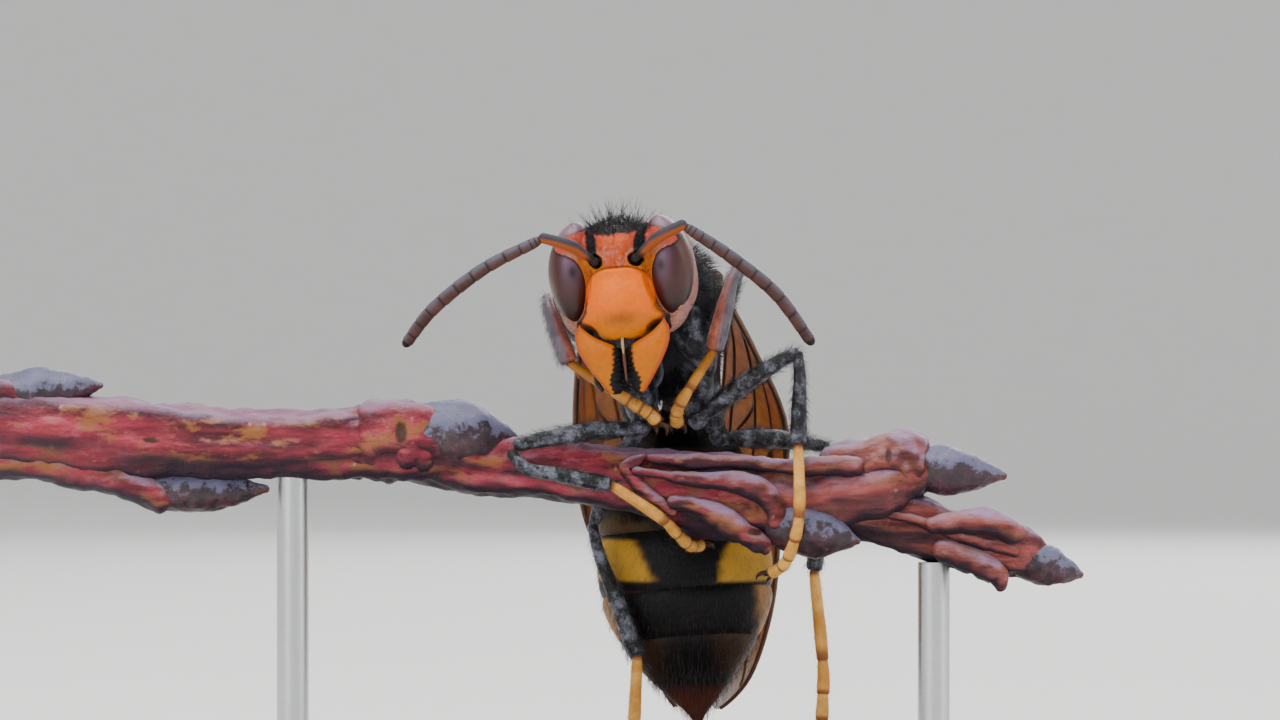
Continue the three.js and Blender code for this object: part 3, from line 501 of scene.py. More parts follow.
bm = bmesh.new()
bark_sweep(bm, [(x, 0, z) for x, z, r in STEM], [r for x, z, r in STEM], 56, 190, ends=(0.02, 0.4))
bark_sweep(bm, [row[:3] for row in LOWER_BRANCH], [row[3] for row in LOWER_BRANCH], 44, 70)
bark_sweep(bm, [(-25, 0, -2.0), (-24, 0, -2.0), (-22.6, 0, -2.15)], [1.22, 1.32, 1.1], 40, 30,
           ends=(0.02, 0.8))
for x, y, z, length, size in NODES:
    route = [(x - length, y, z), (x, y, z), (x + length, y, z - 0.1)]
    bark_sweep(bm, route, [size * 0.86, size, size * 0.84], 36, 22)
plain_points = len(bm.verts)
bark_sweep(bm, [(7.2, 0, -4.15), (8.6, -0.1, -3.95), (9.7, -0.1, -3.8), (10.4, 0, -4.0)],
           [0.85, 1.12, 1.22, 1.05], 48, 40, ends=(0.6, 0.3))
for depth, route, sizes in FOLDS:
    sweep(bm, [(x, depth, z) for x, z in route], sizes, sides=24, steps=60, lie=(0, 1, 0))
keep_late(bm, "fold", plain_points)
scar = bm.verts.layers.float.new("scar")
for x, z, width, height in LEAF_SCARS:
    for vert in bm.verts:
        if vert.co.y < TWIG_DEPTH:
            near = math.exp(-((vert.co.x - x) / width) ** 2 - ((vert.co.z - z) / height) ** 2)
            vert[scar] = max(vert[scar], near)
            vert.co.y += SCAR_DEPTH * near
rough_up(bm, 0.16, 1.4)
rough_up(bm, 0.07, 0.42, seed=7)
put("twig_bark", bm, bark, ["perch_twig"], PERCH)

pale_wood, place = start_finish("cut_wood")
from_pith = place.node("ShaderNodeMapping", {}, {"Vector": place, "Location": (0.024, 0.0013, -0.0177)})
year_rings = place.node("ShaderNodeTexWave", {"wave_type": "RINGS", "rings_direction": "X"},
                        {"Vector": from_pith, "Scale": 700.0, "Distortion": 2.5, "Detail": 2.0})
ring_wood = year_rings.tint((0.42, 0.25, 0.12, 1), (0.60, 0.41, 0.22, 1))
shade(pale_wood, place, ring_wood, 0.7, year_rings, 0.00002)
bm = bmesh.new()
across_twig = Matrix.Translation((CUT_X, TWIG_DEPTH, -2.5)) @ Matrix.Rotation(math.pi / 2, 4, "Y")
bmesh.ops.create_cone(bm, cap_ends=True, segments=40, radius1=1.22, radius2=1.22, depth=0.16,
                      matrix=across_twig)
crease(put("twig_cut_face", bm, pale_wood, [], PERCH), 40)

scale, place = start_finish("bud_scale")
facing = place.upward()
crust = place.grain(0.0005, detail=6, rough=0.68)
flecks = place.grain(0.00016, detail=4)
along = place.kept("along")
dark_scale = crust.rise(0.35, 0.7).tint((0.012, 0.006, 0.012, 1), (0.075, 0.020, 0.034, 1))
red_tip = along.rise(0.78, 1.0).tint(dark_scale, (0.095, 0.018, 0.016, 1))
# Pale lilac-blue waxy crust in patches, wider on upward faces: partly real crust, partly painted highlight.
waxy_crust_and_highlight = (facing * 0.50 + crust * 1.4 + flecks * 0.4).rise(0.92, 1.10) * 0.9
scale_colour = waxy_crust_and_highlight.tint(red_tip, (0.120, 0.120, 0.215, 1))
shade(scale, place, scale_colour, 0.36 + flecks * 0.3, crust + flecks * 0.6, 0.00009,
      {"Coat Weight": 0.2, "Coat Roughness": 0.25})


def bud_scales(part, turn):
    """Overlapping scales: the bud steps down a little at each scale's curved edge."""
    drop = 0.0
    for edge, phase in ((0.26, 0.4), (0.46, 2.0), (0.64, 3.6), (0.80, 5.2)):
        lip = edge + 0.13 * math.cos(2 * (turn - phase))
        drop += 0.05 / (1 + math.exp(-(part - lip) * 60))
    return 1.06 - drop


bm = bmesh.new()
to_twig = Vector((0, TWIG_DEPTH, 0))
for root, tip, radius in BUDS.values():
    root, tip = Vector(root), Vector(tip)
    route = [root.lerp(tip, share) + to_twig for share in (0, 0.4, 0.75, 1)]
    sweep(bm, route, [radius * 0.8, radius * 1.0, radius * 0.72, 0.16], sides=40, steps=46, lie=(0, 1, 0),
          form=bud_scales)
rough_up(bm, 0.08, 0.7, seed=3)
rough_up(bm, 0.03, 0.2, seed=9)
put("twig_buds", bm, scale, [], PERCH)

# THORAX
# The barrel that carries the legs and wings: a collar in front, the broad black shield of the back, a small
# two-lobed plate behind it and a rounded end over the waist. Its hard black plates meet in fine grooves.
THORAX_CENTRE = Vector((0.85, 4.2, 1.4))
THORAX_BACK = Vector((0.116, 0.751, -0.65)).normalized()
THORAX_LEFT = THORAX_BACK.cross(Vector((-0.06, 0.655, 0.755))).normalized()
THORAX_UP = THORAX_LEFT.cross(THORAX_BACK)
THORAX_TURN = Matrix((THORAX_LEFT, THORAX_BACK, THORAX_UP)).transposed().to_4x4()
THORAX = PERCH @ Matrix.Translation(THORAX_CENTRE) @ THORAX_TURN
# Each lump is its middle and its half sizes. x runs to the hornet's left, y to its tail and z to its back.
THORAX_LUMPS = (
    ((0, -0.71, 0.05), (2.38, 2.45, 2.34)),
    ((0, -2.1, 0.1), (2.0, 1.35, 1.78)),
    ((0.5, 1.45, 1.32), (0.78, 0.8, 0.74)),
    ((-0.5, 1.45, 1.32), (0.78, 0.8, 0.74)),
    ((0, 1.95, -0.1), (1.92, 1.55, 1.62)),
    ((1.25, -0.6, -0.9), (0.95, 1.5, 1.2)),
    ((-1.25, -0.6, -0.9), (0.95, 1.5, 1.2)),
)


def swollen(bm, lumps, soft):
    """Blows a small ball up into the soft union of round lumps, and gives its points as rows of numbers."""
    points = np.array([vert.co.normalized() for vert in bm.verts])
    low, high = np.full(len(points), 0.1), np.full(len(points), 8.0)
    for _ in range(30):
        reach = (low + high) / 2
        spots = points * reach[:, None]
        fullness = sum(np.exp((1 - np.linalg.norm((spots - middle) / half, axis=1)) * min(half) / soft)
                       for middle, half in lumps)
        low, high = np.where(fullness > 1, reach, low), np.where(fullness > 1, high, reach)
    return points * low[:, None]


def place_points(bm, points):
    """Moves the points of a form to these rows of numbers."""
    for vert, point in zip(bm.verts, points):
        vert.co = point


def groove(distance, width):
    """1 on a line and 0 away from it."""
    return np.exp(-(distance / width) ** 2)


def pressed_sutures(points):
    """Presses the grooves between the plates into the thorax: three across the back, one down its middle, a
    pair beside that, and three on each flank."""
    x, y, z = points.T
    above = np.clip(z * 1.5, 0, 1)
    flank = np.clip(np.abs(x) - 1.0, 0, 1)
    depth = 0.13 * groove(y + 2.05 - 0.22 * x * x, 0.09) * above
    depth += 0.12 * groove(y - 0.78 - 0.05 * x * x, 0.08) * above
    depth += 0.12 * groove(y - 2.05, 0.09) * above
    depth += 0.05 * groove(x, 0.06) * above * (y > -2.0)
    depth += 0.05 * groove(np.abs(x) - 0.95 - 0.12 * (y + 1), 0.07) * above * (y < 0.6) * (y > -1.7)
    depth += 0.10 * groove(z + 0.25 + 0.35 * (y + 0.5), 0.09) * flank * (y < 1.2)
    depth += 0.10 * groove(y - 0.55 + 0.3 * z, 0.09) * flank * (z < 0.7)
    depth += 0.08 * groove(y + 2.0 + 0.45 * z, 0.08) * flank
    length = np.linalg.norm(points, axis=1)
    return points * (1 - depth / length)[:, None]


black, place = start_finish("velvet_black_shell")
down = place.grain(0.00009, detail=3)
cloud = place.grain(0.0012, detail=5)
pits = place.cells(0.00013)
# Blue-grey patches on the black: partly fine down, partly painted highlights.
down_and_glints = (cloud * 0.6 + down * 0.5).rise(0.42, 0.80)
shell_colour = down_and_glints.tint((0.0035, 0.0035, 0.0045, 1), (0.055, 0.058, 0.082, 1))
shade(black, place, shell_colour, 0.36 + cloud * 0.3, down * 0.6 + pits, 0.00003,
      {"Sheen Weight": 0.08, "Sheen Roughness": 0.4, "Sheen Tint": (0.55, 0.62, 0.78, 1),
       "Specular IOR Level": 0.3})

bm = bmesh.new()
bmesh.ops.create_icosphere(bm, subdivisions=7, radius=1)
place_points(bm, pressed_sutures(swollen(bm, THORAX_LUMPS, 0.14)))
rough_up(bm, 0.05, 0.9)
thorax = put("thorax_shell", bm, black, ["thorax"], THORAX)

bm = bmesh.new()
sweep(bm, [(0.62, 1.7, 2.72), (0.2, 1.1, 2.85), (-0.5, 0.35, 2.9)], [0.95, 0.72, 0.7], sides=28, steps=14)
put("neck", bm, black, [], PERCH)

tegula_brown, place = start_finish("wing_root_brown")
fleck = place.grain(0.00025)
flecked = fleck.tint((0.035, 0.012, 0.006, 1), (0.12, 0.045, 0.018, 1))
shade(tegula_brown, place, flecked, 0.32, fleck, 0.00001)
bm = bmesh.new()
for side in (1, -1):
    at_root = Matrix.Translation((side * 2.2, -0.78, 1.03)) @ Matrix.Rotation(side * 0.5, 4, "Y")
    bmesh.ops.create_uvsphere(bm, u_segments=28, v_segments=18, radius=1,
                              matrix=at_root @ Matrix.Diagonal((0.26, 0.6, 0.38, 1)))
rough_up(bm, 0.04, 0.4)
put("wing_root_scales", bm, tegula_brown, [], THORAX)


HAIR_ROOT = 0.02
HAIR_SPOT = 0.002


def read_rows(owner, name, kind=float):
    """The three numbers that a mesh keeps for each of its items under this name, as rows."""
    values = np.empty(len(owner) * 3, dtype=kind)
    owner.foreach_get(name, values)
    return values.reshape(-1, 3)


def unit(rows):
    """Rows of directions, each made one long."""
    return rows / np.linalg.norm(rows, axis=1)[:, None]


def tufts(name, skin, count, length, width, finish, choose, droop=0.5, lift=0.5, seed=1):
    """Roots fine bristles over a skin as one mesh, shared out by area. choose(place, near) gets each root's
    place and nearest point, and gives its share of the full length, 0 for none, and the way it leans."""
    random = np.random.default_rng(seed)
    mesh = skin.data
    mesh.calc_loop_triangles()

    corners = read_rows(mesh.loop_triangles, "vertices", np.int32)
    points = read_rows(mesh.vertices, "co") / MM
    normals = read_rows(mesh.vertices, "normal")
    places = read_rows(mesh.attributes["place"].data, "vector")
    a, b, c = (points[corners[:, k]] for k in range(3))
    area = np.linalg.norm(np.cross(b - a, c - a), axis=1)
    picked = random.choice(len(corners), size=count, p=area / area.sum())
    shares = random.random((count, 2))
    shares = np.where((shares.sum(axis=1) > 1)[:, None], 1 - shares, shares)
    weights = np.column_stack([1 - shares.sum(axis=1), shares])
    root, normal, place = (np.einsum("nk,nkd->nd", weights, values[corners[picked]])
                           for values in (points, normals, places))
    normal = unit(normal)
    grow, lean = choose(place, corners[picked][:, 0])
    kept = grow > 0.02
    root, normal, place, grow, lean = root[kept], normal[kept], place[kept], grow[kept], lean[kept]
    number = len(root)
    size = length * grow * random.uniform(0.75, 1.15, number)
    lean = lean - normal * np.sum(lean * normal, axis=1)[:, None]
    start = unit(normal * lift + lean * (1 - lift) + random.normal(0, 0.10, (number, 3)))
    side = unit(np.cross(start, random.normal(0, 1, (number, 3))))
    across = np.cross(start, side)

    bm = bmesh.new()
    bmesh.ops.create_cone(bm, cap_ends=False, segments=3, radius1=1, radius2=0.12, depth=1,
                          matrix=Matrix.Translation((0, 0, 0.5)))
    uprights = [edge for edge in bm.edges if abs(edge.verts[0].co.z - edge.verts[1].co.z) > 0.5]
    bmesh.ops.subdivide_edges(bm, edges=uprights, cuts=1)
    bmesh.ops.triangulate(bm, faces=bm.faces)
    hair = np.array([vert.co[:] for vert in bm.verts])
    hair_faces = np.array([[vert.index for vert in face.verts] for face in bm.faces])
    bm.free()
    rise = hair[:, 2][None, :, None]
    body = root[:, None, :] - normal[:, None, :] * HAIR_ROOT
    body = body + (start[:, None, :] * rise + (lean * droop)[:, None, :] * rise ** 2) * size[:, None, None]
    body = body + side[:, None, :] * hair[:, 0][None, :, None] * width
    body = body + across[:, None, :] * hair[:, 1][None, :, None] * width
    faces = (hair_faces[None] + (np.arange(number) * len(hair))[:, None, None]).reshape(-1, 3)
    made = bpy.data.meshes.new(name)
    made.vertices.add(number * len(hair))
    made.vertices.foreach_set("co", (body * MM).ravel())
    made.loops.add(faces.size)
    made.loops.foreach_set("vertex_index", faces.ravel().astype(np.int32))
    made.polygons.add(len(faces))
    made.polygons.foreach_set("loop_start", np.arange(0, faces.size, 3, dtype=np.int32))
    made.update(calc_edges=True)
    made.validate()
    spot = np.column_stack([np.arctan2(place[:, 1], place[:, 0]) / (2 * math.pi) + 0.5,
                            (place[:, 2] - place[:, 2].min()) / max(np.ptp(place[:, 2]), 0.01)]) * 0.99
    patch = (hair[:, [0, 2]] - [0, 0.5]) * [0.0012, 0.003]
    corner_of = spot[:, None, :] + patch[None] + HAIR_SPOT
    layer = made.uv_layers.new(name="OFBake")
    layer.uv.foreach_set("vector", corner_of.reshape(-1, 2)[faces.ravel()].ravel())
    made.materials.append(finish)
    made.shade_smooth()
    coat = bpy.data.objects.new(name, made)
    bpy.context.scene.collection.objects.link(coat)
    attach(coat, "root")
    return coat


def toward(frame, direction):
    """A direction in a piece's own frame, turned into the model's."""
    return np.array(frame.to_3x3() @ Vector(direction))


dark_hair, place = start_finish("dark_bristle")
strand = place.grain(0.0004)
shade(dark_hair, place, strand.tint((0.006, 0.005, 0.006, 1), (0.034, 0.028, 0.030, 1)), 0.5)
thorax_lie = toward(THORAX, (0, 1, 0.1))


def thorax_hair(place, near):
    """Short all over, longer on the collar and flanks."""
    x, y, z = place.T
    grow = 0.5 + 0.4 * np.clip(-y - 1.0, 0, 1) + 0.3 * np.clip(-z, 0, 1)
    return grow, np.tile(thorax_lie, (len(place), 1))


tufts("thorax_hair", thorax, 9000, 0.55, 0.012, dark_hair, thorax_hair, droop=0.25, lift=0.62,
      seed=3)

# HEAD
# A hard capsule, broad over the eyes, with pink cheeks and temples. The face plate bulges in front and is
# edged by a fine groove, the brow between the feelers is orange-red, and the crown is black with three simple
# eyes.
HEAD = PERCH @ Matrix.Translation((-0.65, 0, 2.95)) @ Matrix.Rotation(math.radians(-9), 4, "Z")
HEAD = HEAD @ Matrix.Rotation(math.radians(-5), 4, "Y")
# Each lump is its middle and its half sizes. x runs to the hornet's left, y to its nape and z to its crown.
HEAD_LUMPS = (
    ((0, 0.05, 0.42), (2.5, 1.22, 1.98)),
    ((0, -0.15, 0.7), (1.35, 1.2, 1.7)),
    ((1.15, 0.0, -1.15), (0.95, 0.85, 1.0)),
    ((-1.15, 0.0, -1.15), (0.95, 0.85, 1.0)),
    ((1.52, 0.12, -0.85), (0.92, 0.8, 1.16)),
    ((-1.52, 0.12, -0.85), (0.92, 0.8, 1.16)),
    ((1.75, 0.55, -0.2), (1.0, 0.65, 1.35)),
    ((-1.75, 0.55, -0.2), (1.0, 0.65, 1.35)),
    ((1.55, 0.62, 0.7), (1.07, 0.66, 1.5)),
    ((-1.55, 0.62, 0.7), (1.07, 0.66, 1.5)),
    ((0, -0.35, -0.86), (1.52, 1.18, 1.52)),
)
# The outlines are x and z, seen from the front: the left halves of face plate and brow, and the left eye.
FACE_PLATE = [(0, 0.44), (0.5, 0.42), (0.93, 0.26), (1.18, -0.04), (1.29, -0.42), (1.29, -0.82),
              (1.29, -1.13), (1.52, -1.34), (1.47, -1.55), (1.18, -1.66), (1.0, -1.84), (0.92, -2.05),
              (0.70, -2.23), (0.30, -2.28), (0, -2.21)]
EYE_OUTLINE = [(2.15, 1.14), (1.85, 1.04), (1.55, 0.86), (1.33, 0.5), (1.25, 0.05), (1.3, -0.5),
               (1.48, -1.06), (1.78, -1.38), (2.1, -1.2), (2.4, -0.75), (2.62, -0.25), (2.85, 0.4),
               (3.2, 1.0), (3.1, 1.8), (2.5, 2.5), (1.6, 2.6), (1.02, 2.28), (0.98, 2.02), (1.3, 1.9),
               (1.75, 1.8), (2.1, 1.58), (2.32, 1.34)]
BROW = [(0, 1.66), (0.5, 1.66), (0.64, 1.55), (0.64, 1.26), (0.50, 0.86), (0.40, 0.50), (0, 0.44)]
SOCKET = (0.75, 0.72)
OUTLINE_STEPS = 6
EYE_MIDDLE = (1.84, -0.12, 0.40)
EYE_HALF = (0.88, 1.04, 1.90)


def smooth_outline(corners):
    """Rounds a drawn outline off into many short lengths."""
    ring = [Vector(corner) for corner in (*corners, corners[0])]
    count = OUTLINE_STEPS * len(corners)
    return np.array([between(ring, k / count) for k in range(count + 1)])


def reach_of(x, z, outline):
    """How far each point lies outside an outline, less than 0 inside it."""
    nearest = np.full(len(x), 1e9)
    inside = np.zeros(len(x), bool)
    for (ax, az), (bx, bz) in zip(outline[:-1], outline[1:]):
        wide, tall = bx - ax, bz - az
        share = np.clip(((x - ax) * wide + (z - az) * tall) / max(wide ** 2 + tall ** 2, 1e-9), 0, 1)
        nearest = np.minimum(nearest, np.hypot(x - ax - share * wide, z - az - share * tall))
        crosses = (az > z) != (bz > z)
        inside ^= crosses & (x < ax + wide * (z - az) / (tall if bz != az else 1e-9))
    return np.where(inside, -nearest, nearest)


def mirrored(half):
    """A whole outline from its left half."""
    return [(x, z) for x, z in half] + [(-x, z) for x, z in reversed(half[1:-1])]


face_line = smooth_outline(mirrored(FACE_PLATE))
eye_line = smooth_outline(EYE_OUTLINE)
brow_line = smooth_outline(mirrored(BROW))


def eye_course(z):
    """How far out the middle of the eye lies at a height, and how its width narrows there."""
    above = np.clip((z - EYE_MIDDLE[2]) / EYE_HALF[2], 0, 1)
    below = np.clip((EYE_MIDDLE[2] - z) / EYE_HALF[2], 0, 1)
    return EYE_MIDDLE[0] - 0.28 * above ** 2, 1 - 0.20 * below ** 2


def eye_front(x, z):
    """The y of the front of the eye's ball, and 9 beside it."""
    middle, narrowing = eye_course(z)
    up = (z - EYE_MIDDLE[2]) / EYE_HALF[2]
    rest = 1 - ((np.abs(x) - middle) / EYE_HALF[0] / narrowing) ** 2 - up ** 2
    return np.where(rest > 0, EYE_MIDDLE[1] - EYE_HALF[1] * np.sqrt(np.maximum(rest, 0)), 9.0)


def soft_step(value, low, high):
    """0 below low, 1 above high, and a soft step between them."""
    share = np.clip((value - low) / (high - low), 0, 1)
    return share * share * (3 - 2 * share)


def faced(points):
    """Raises the face plate and brow, sinks the feelers' sockets and fits the rim of the eyes."""
    x, y, z = points.T.copy()
    z = np.where(z > 1.7, 1.7 + (z - 1.7) * 0.80, z)
    front = np.clip(-y * 1.6 - 0.2, 0, 1)
    plate = reach_of(x, z, face_line)
    dome = np.sqrt(np.clip(1 - (x / 1.8) ** 2 - ((z + 0.75) / 2.0) ** 2, 0, 1))
    y -= front * (0.13 * soft_step(-plate, 0.0, 0.11) + 0.12 * dome * (plate < 0))
    y += front * (0.04 + 0.06 * soft_step(-z, 0.8, 1.4)) * groove(plate, 0.04)
    y -= front * 0.10 * soft_step(-reach_of(x, z, brow_line), -0.1, 0.3)
    y += front * 0.05 * groove(x, 0.05) * (z > 0.6) * (z < 1.9)
    socket = np.hypot(np.abs(x) - SOCKET[0], z - SOCKET[1])
    y += front * (0.32 * np.exp(-(socket / 0.2) ** 2) - 0.09 * groove(socket - 0.3, 0.07))
    eye = reach_of(np.abs(x), z, eye_line)
    ball = eye_front(x, z)
    seen = (y < 0.25) & (ball < 5)
    blend = np.exp(-(np.maximum(eye, 0) / 0.25) ** 2)
    rim = np.minimum(y * (1 - blend) + (ball - 0.05) * blend, ball - 0.03)
    close_by = np.maximum(soft_step(0.62 - (y - ball), 0, 0.36), soft_step(z, 0.5, 0.9))
    y = np.where(seen & (eye >= 0), y + (rim - y) * close_by, y)
    y = np.where(seen & (eye < 0), np.maximum(y, ball + 0.14 * soft_step(-eye, 0, 0.05)), y)
    return np.column_stack([x, y, z])


def wander(points, size, seed=0.0):
    """Soft random numbers at points, for edges that aren't drawn with a ruler."""
    away = Vector((seed, 0, 0))
    return np.array([noise.fractal(Vector(point) / size + away, 1.0, 2.0, 3) for point in points])


def soft_spot(across, along):
    """1 in the middle of a soft round spot and 0 away from it, by its two distances in half widths."""
    return np.exp(-across ** 2 - along ** 2)


def mixed(under, over, share):
    """Rows of colours with a share, from 0 to 1, of another colour laid over each."""
    return under + (np.array(over) - under) * np.clip(share, 0, 1)[:, None]


ORANGE = (0.86, 0.150, 0.0)
MUSTARD = (0.60, 0.165, 0.0)
BROW_RED = (0.50, 0.068, 0.040)
CHEEK_PINK = (0.38, 0.190, 0.160)
EYE_MARGIN = (0.56, 0.140, 0.004)
CROWN_BLACK = (0.006, 0.005, 0.006)


def plain(colour, points):
    """One colour for all of these points."""
    return np.tile(np.array(colour), (len(points), 1))


def head_tint(points):
    """The markings of the head, with a painted highlight on the face plate, for its skin and its hair alike.
    """
    x, y, z = points.T
    side = np.abs(x)
    stray = wander(points, 0.35) * 0.10
    tint = plain(CHEEK_PINK, points)
    tint = mixed(tint, EYE_MARGIN, soft_step(-y, 0.3, 0.9) * soft_step(1.3 - z, 0, 0.6))
    tint = mixed(tint, BROW_RED, soft_step(z, 0.95, 1.3) * soft_step(-y, 0.1, 0.5))
    brow = reach_of(x, z, brow_line)
    rosy_spots = soft_step(wander(points, 0.16, 5.0), -0.05, 0.35)
    tint = mixed(tint, (0.55, 0.080, 0.010), soft_step(-brow, -0.05, 0.1))
    rosy_spots = 0.85 * rosy_spots * soft_step(-brow, -0.02, 0.1) * soft_step(1.6 - z, 0, 0.7)
    tint = mixed(tint, (0.52, 0.17, 0.14), rosy_spots)
    crown_reach = 1.12 + 0.9 * np.clip(y + 0.25, 0, 1)
    crown = soft_step(z + stray + 0.5 * np.clip(y + 0.2, 0, 1), 1.62, 1.74)
    crown = crown * soft_step(crown_reach - side + stray, 0, 0.12)
    stripe = soft_step(0.24 - np.abs(side - 0.86 - 0.10 * (z - 0.9)) + stray * 0.6, 0, 0.08) * (z > 0.6)
    tint = mixed(tint, CROWN_BLACK, np.maximum(crown, stripe) * (y < 0.75))
    tint = mixed(tint, CROWN_BLACK, soft_step(z + stray, 2.06, 2.16))
    socket = np.hypot(side - SOCKET[0], z - SOCKET[1])
    tint = mixed(tint, CROWN_BLACK, soft_step(0.31 - socket + stray * 0.5, 0, 0.06) * (y < 0))
    back = soft_step(y + stray, 0.45, 0.62) * soft_step(2.1 - side + 0.5 * z, 0, 0.4)
    tint = mixed(tint, CROWN_BLACK, back)
    plate = reach_of(x, z, face_line)
    front = y < -0.3
    face = mixed(plain(ORANGE, points), MUSTARD, soft_step(-z, 0.9, 1.9))
    # A painted highlight: a paler orange spot in the middle of the face plate.
    face = mixed(face, (0.88, 0.165, 0.006), 0.5 * soft_spot((x + 0.05) / 0.62, (z + 0.12) / 0.42))
    face = mixed(face, (0.22, 0.065, 0.008), 0.6 * soft_spot((x - 0.1) / 0.62, (z + 1.42) / 0.24))
    on_plate = soft_step(-plate, -0.015, 0.02) * front
    tint = np.where((on_plate > 0)[:, None], tint + (face - tint) * on_plate[:, None], tint)
    lower = soft_step(-z, 1.15, 1.5)
    seam = groove(plate - 0.01, 0.03 + 0.05 * lower) * front * (0.40 + 0.60 * lower)
    tint = mixed(tint, (0.10, 0.018, 0.006), seam)
    tint = mixed(tint, (0.008, 0.006, 0.006), soft_step(plate, 0.02, 0.08) * lower * front * (side < 1.75))
    return tint


def dye(bm, colours):
    """Keeps each point's colour in the mesh."""
    layer = bm.verts.layers.float_color.new("tint")
    for vert, colour in zip(bm.verts, colours):
        vert[layer] = (*colour, 1)


face_shell, place = start_finish("painted_face_shell")
tint = place.kept("tint", "Color")
mottle = place.grain(0.00022, detail=5)
cloud = place.grain(0.0009, detail=3)
pits = place.cells(0.00011)
shade_of = tint.brighter(0.74 + mottle * 0.36 + cloud * 0.16)
speck = (pits - 0.25).rise(-0.16, -0.02).tint((0.55, 0.52, 0.50, 1), (1, 1, 1, 1))
face_colour = place.node("ShaderNodeMix", {"data_type": "RGBA", "blend_type": "MULTIPLY"},
                         {0: 0.45, 6: shade_of, 7: speck}, output=2)
shade(face_shell, place, face_colour, 0.32 + mottle * 0.22, pits * 0.8 + mottle * 0.5, 0.000022,
      {"Subsurface Weight": 0.12, "Subsurface Scale": 0.0002, "Subsurface Radius": (1.0, 0.35, 0.12),
       "Specular IOR Level": 0.18})

bm = bmesh.new()
bmesh.ops.create_icosphere(bm, subdivisions=7, radius=1)
shape = faced(swollen(bm, HEAD_LUMPS, 0.07))
place_points(bm, shape)
eye_gap = reach_of(np.abs(shape[:, 0]), shape[:, 2], eye_line)
rim_points = [vert for vert, gap in zip(bm.verts, eye_gap) if 0.03 < gap < 0.45 and vert.co.z < 0.6]
for _ in range(4):
    bmesh.ops.smooth_vert(bm, verts=rim_points, factor=0.5, use_axis_y=True)
outermost = [vert for vert in bm.verts if abs(vert.co.x) > 2.2]
eye_corners = [vert for vert in outermost if -1.2 < vert.co.z < 0.3 and vert.co.y < 0.8]
for _ in range(10):
    bmesh.ops.smooth_vert(bm, verts=eye_corners, factor=0.5, use_axis_x=True, use_axis_y=True,
                          use_axis_z=True)
shape = np.array([vert.co[:] for vert in bm.verts])
dye(bm, head_tint(shape))
head = put("head_capsule", bm, face_shell, ["head"], HEAD)

glass_eye, place = start_finish("simple_eye_glass")
speckle = place.grain(0.00008)
shade(glass_eye, place, speckle.tint((0.010, 0.005, 0.004, 1), (0.035, 0.015, 0.010, 1)), 0.16)
bm = bmesh.new()
for x, y, z in ((0, -0.85, 1.94), (-0.28, -0.689, 2.08), (0.28, -0.689, 2.08)):
    bmesh.ops.create_uvsphere(bm, u_segments=20, v_segments=12, radius=0.115,
                              matrix=Matrix.Translation((x, y, z)))
put("simple_eyes", bm, glass_eye, [], HEAD)

# COMPOUND EYES
# Each is one kidney-shaped bulge of thousands of tiny lenses, notched beside the feeler. It is dark plum
# brown with a satin gloss, with a painted mauve-grey sheen down its middle and a painted pale mauve highlight
# on its upper lobe, where the light falls.
eye_shell, place = start_finish("plum_eye_lenses")
tint = place.kept("tint", "Color")
lenses = place.cells(0.000026)
cloud = place.grain(0.0005, detail=4)
eye_colour = tint.brighter(0.8 + cloud * 0.4)
shade(eye_shell, place, eye_colour, 0.30 + cloud * 0.1, lenses, 0.000004,
      {"Coat Weight": 0.12, "Coat Roughness": 0.12, "Specular IOR Level": 0.3})


def eye_tint(points):
    """Plum brown with a painted mauve-grey sheen down the middle and a painted mauve highlight on the upper
    lobe, browner on the outer side, darker towards the bottom and along the rim, with the dark streaks that
    show deep in the lenses.
    """
    x, y, z = points.T
    side = np.abs(x)
    tint = plain((0.044, 0.0105, 0.0075), points)
    # A painted mauve-grey sheen in a band down the middle of the eye.
    tint = mixed(tint, (0.150, 0.084, 0.140), soft_step(z, -0.7, 1.2) * np.exp(-((side - 1.72) / 0.36) ** 2))
    tint = mixed(tint, (0.105, 0.042, 0.034), soft_step(side, 2.1, 2.6) * soft_step(z, -0.9, 0.2) * 0.8)
    # A painted pale mauve highlight on the upper lobe, where the light falls.
    tint = mixed(tint, (0.23, 0.125, 0.175), soft_step(z, 1.35, 2.0) * 0.85)
    tint = mixed(tint, (0.008, 0.004, 0.006), 0.85 * soft_spot((side - 1.66) / 0.15, (z - 0.42) / 0.24))
    tint = mixed(tint, (0.012, 0.005, 0.005), 0.6 * soft_step(-z, 0.2, 1.1))
    rim = groove(reach_of(side, z, eye_line), 0.06) * soft_step(-y, 0.2, 0.5)
    return mixed(tint, (0.010, 0.005, 0.005), 0.8 * rim)


for name, side in (("left", 1), ("right", -1)):
    bm = bmesh.new()
    bmesh.ops.create_uvsphere(bm, u_segments=112, v_segments=80, radius=1)
    for vert in bm.verts:
        height = EYE_MIDDLE[2] + vert.co.z * EYE_HALF[2]
        middle, narrowing = eye_course(height)
        across = side * middle + vert.co.x * EYE_HALF[0] * narrowing
        vert.co = (across, EYE_MIDDLE[1] + vert.co.y * EYE_HALF[1], height)
    dye(bm, eye_tint(np.array([vert.co[:] for vert in bm.verts])))
    put(f"compound_eye_{name}", bm, eye_shell, [f"eye_{name}"], HEAD)

# JAWS
# Two broad blades, orange-yellow with a reddish rim. They close like scissors, and their inner edges are
# black, sunk a little and cut into blunt teeth. A narrow pale lip shows between them.
JAW_TOP, JAW_TIP = -1.58, -4.08
TEETH = 34
# How far out each edge of a blade lies from its top to its tip, and how wide the black strip is.
JAW_INNER = [1.54, 1.30, 0.97, 0.48, 0.09, 0.085, 0.10, 0.11, 0.115, 0.125, 0.14]
JAW_OUTER = [1.62, 1.74, 1.77, 1.74, 1.66, 1.54, 1.40, 1.25, 1.08, 0.91, 0.72]
JAW_STRIP = [0.36, 0.36, 0.37, 0.38, 0.41, 0.46, 0.56, 0.60, 0.52, 0.50]


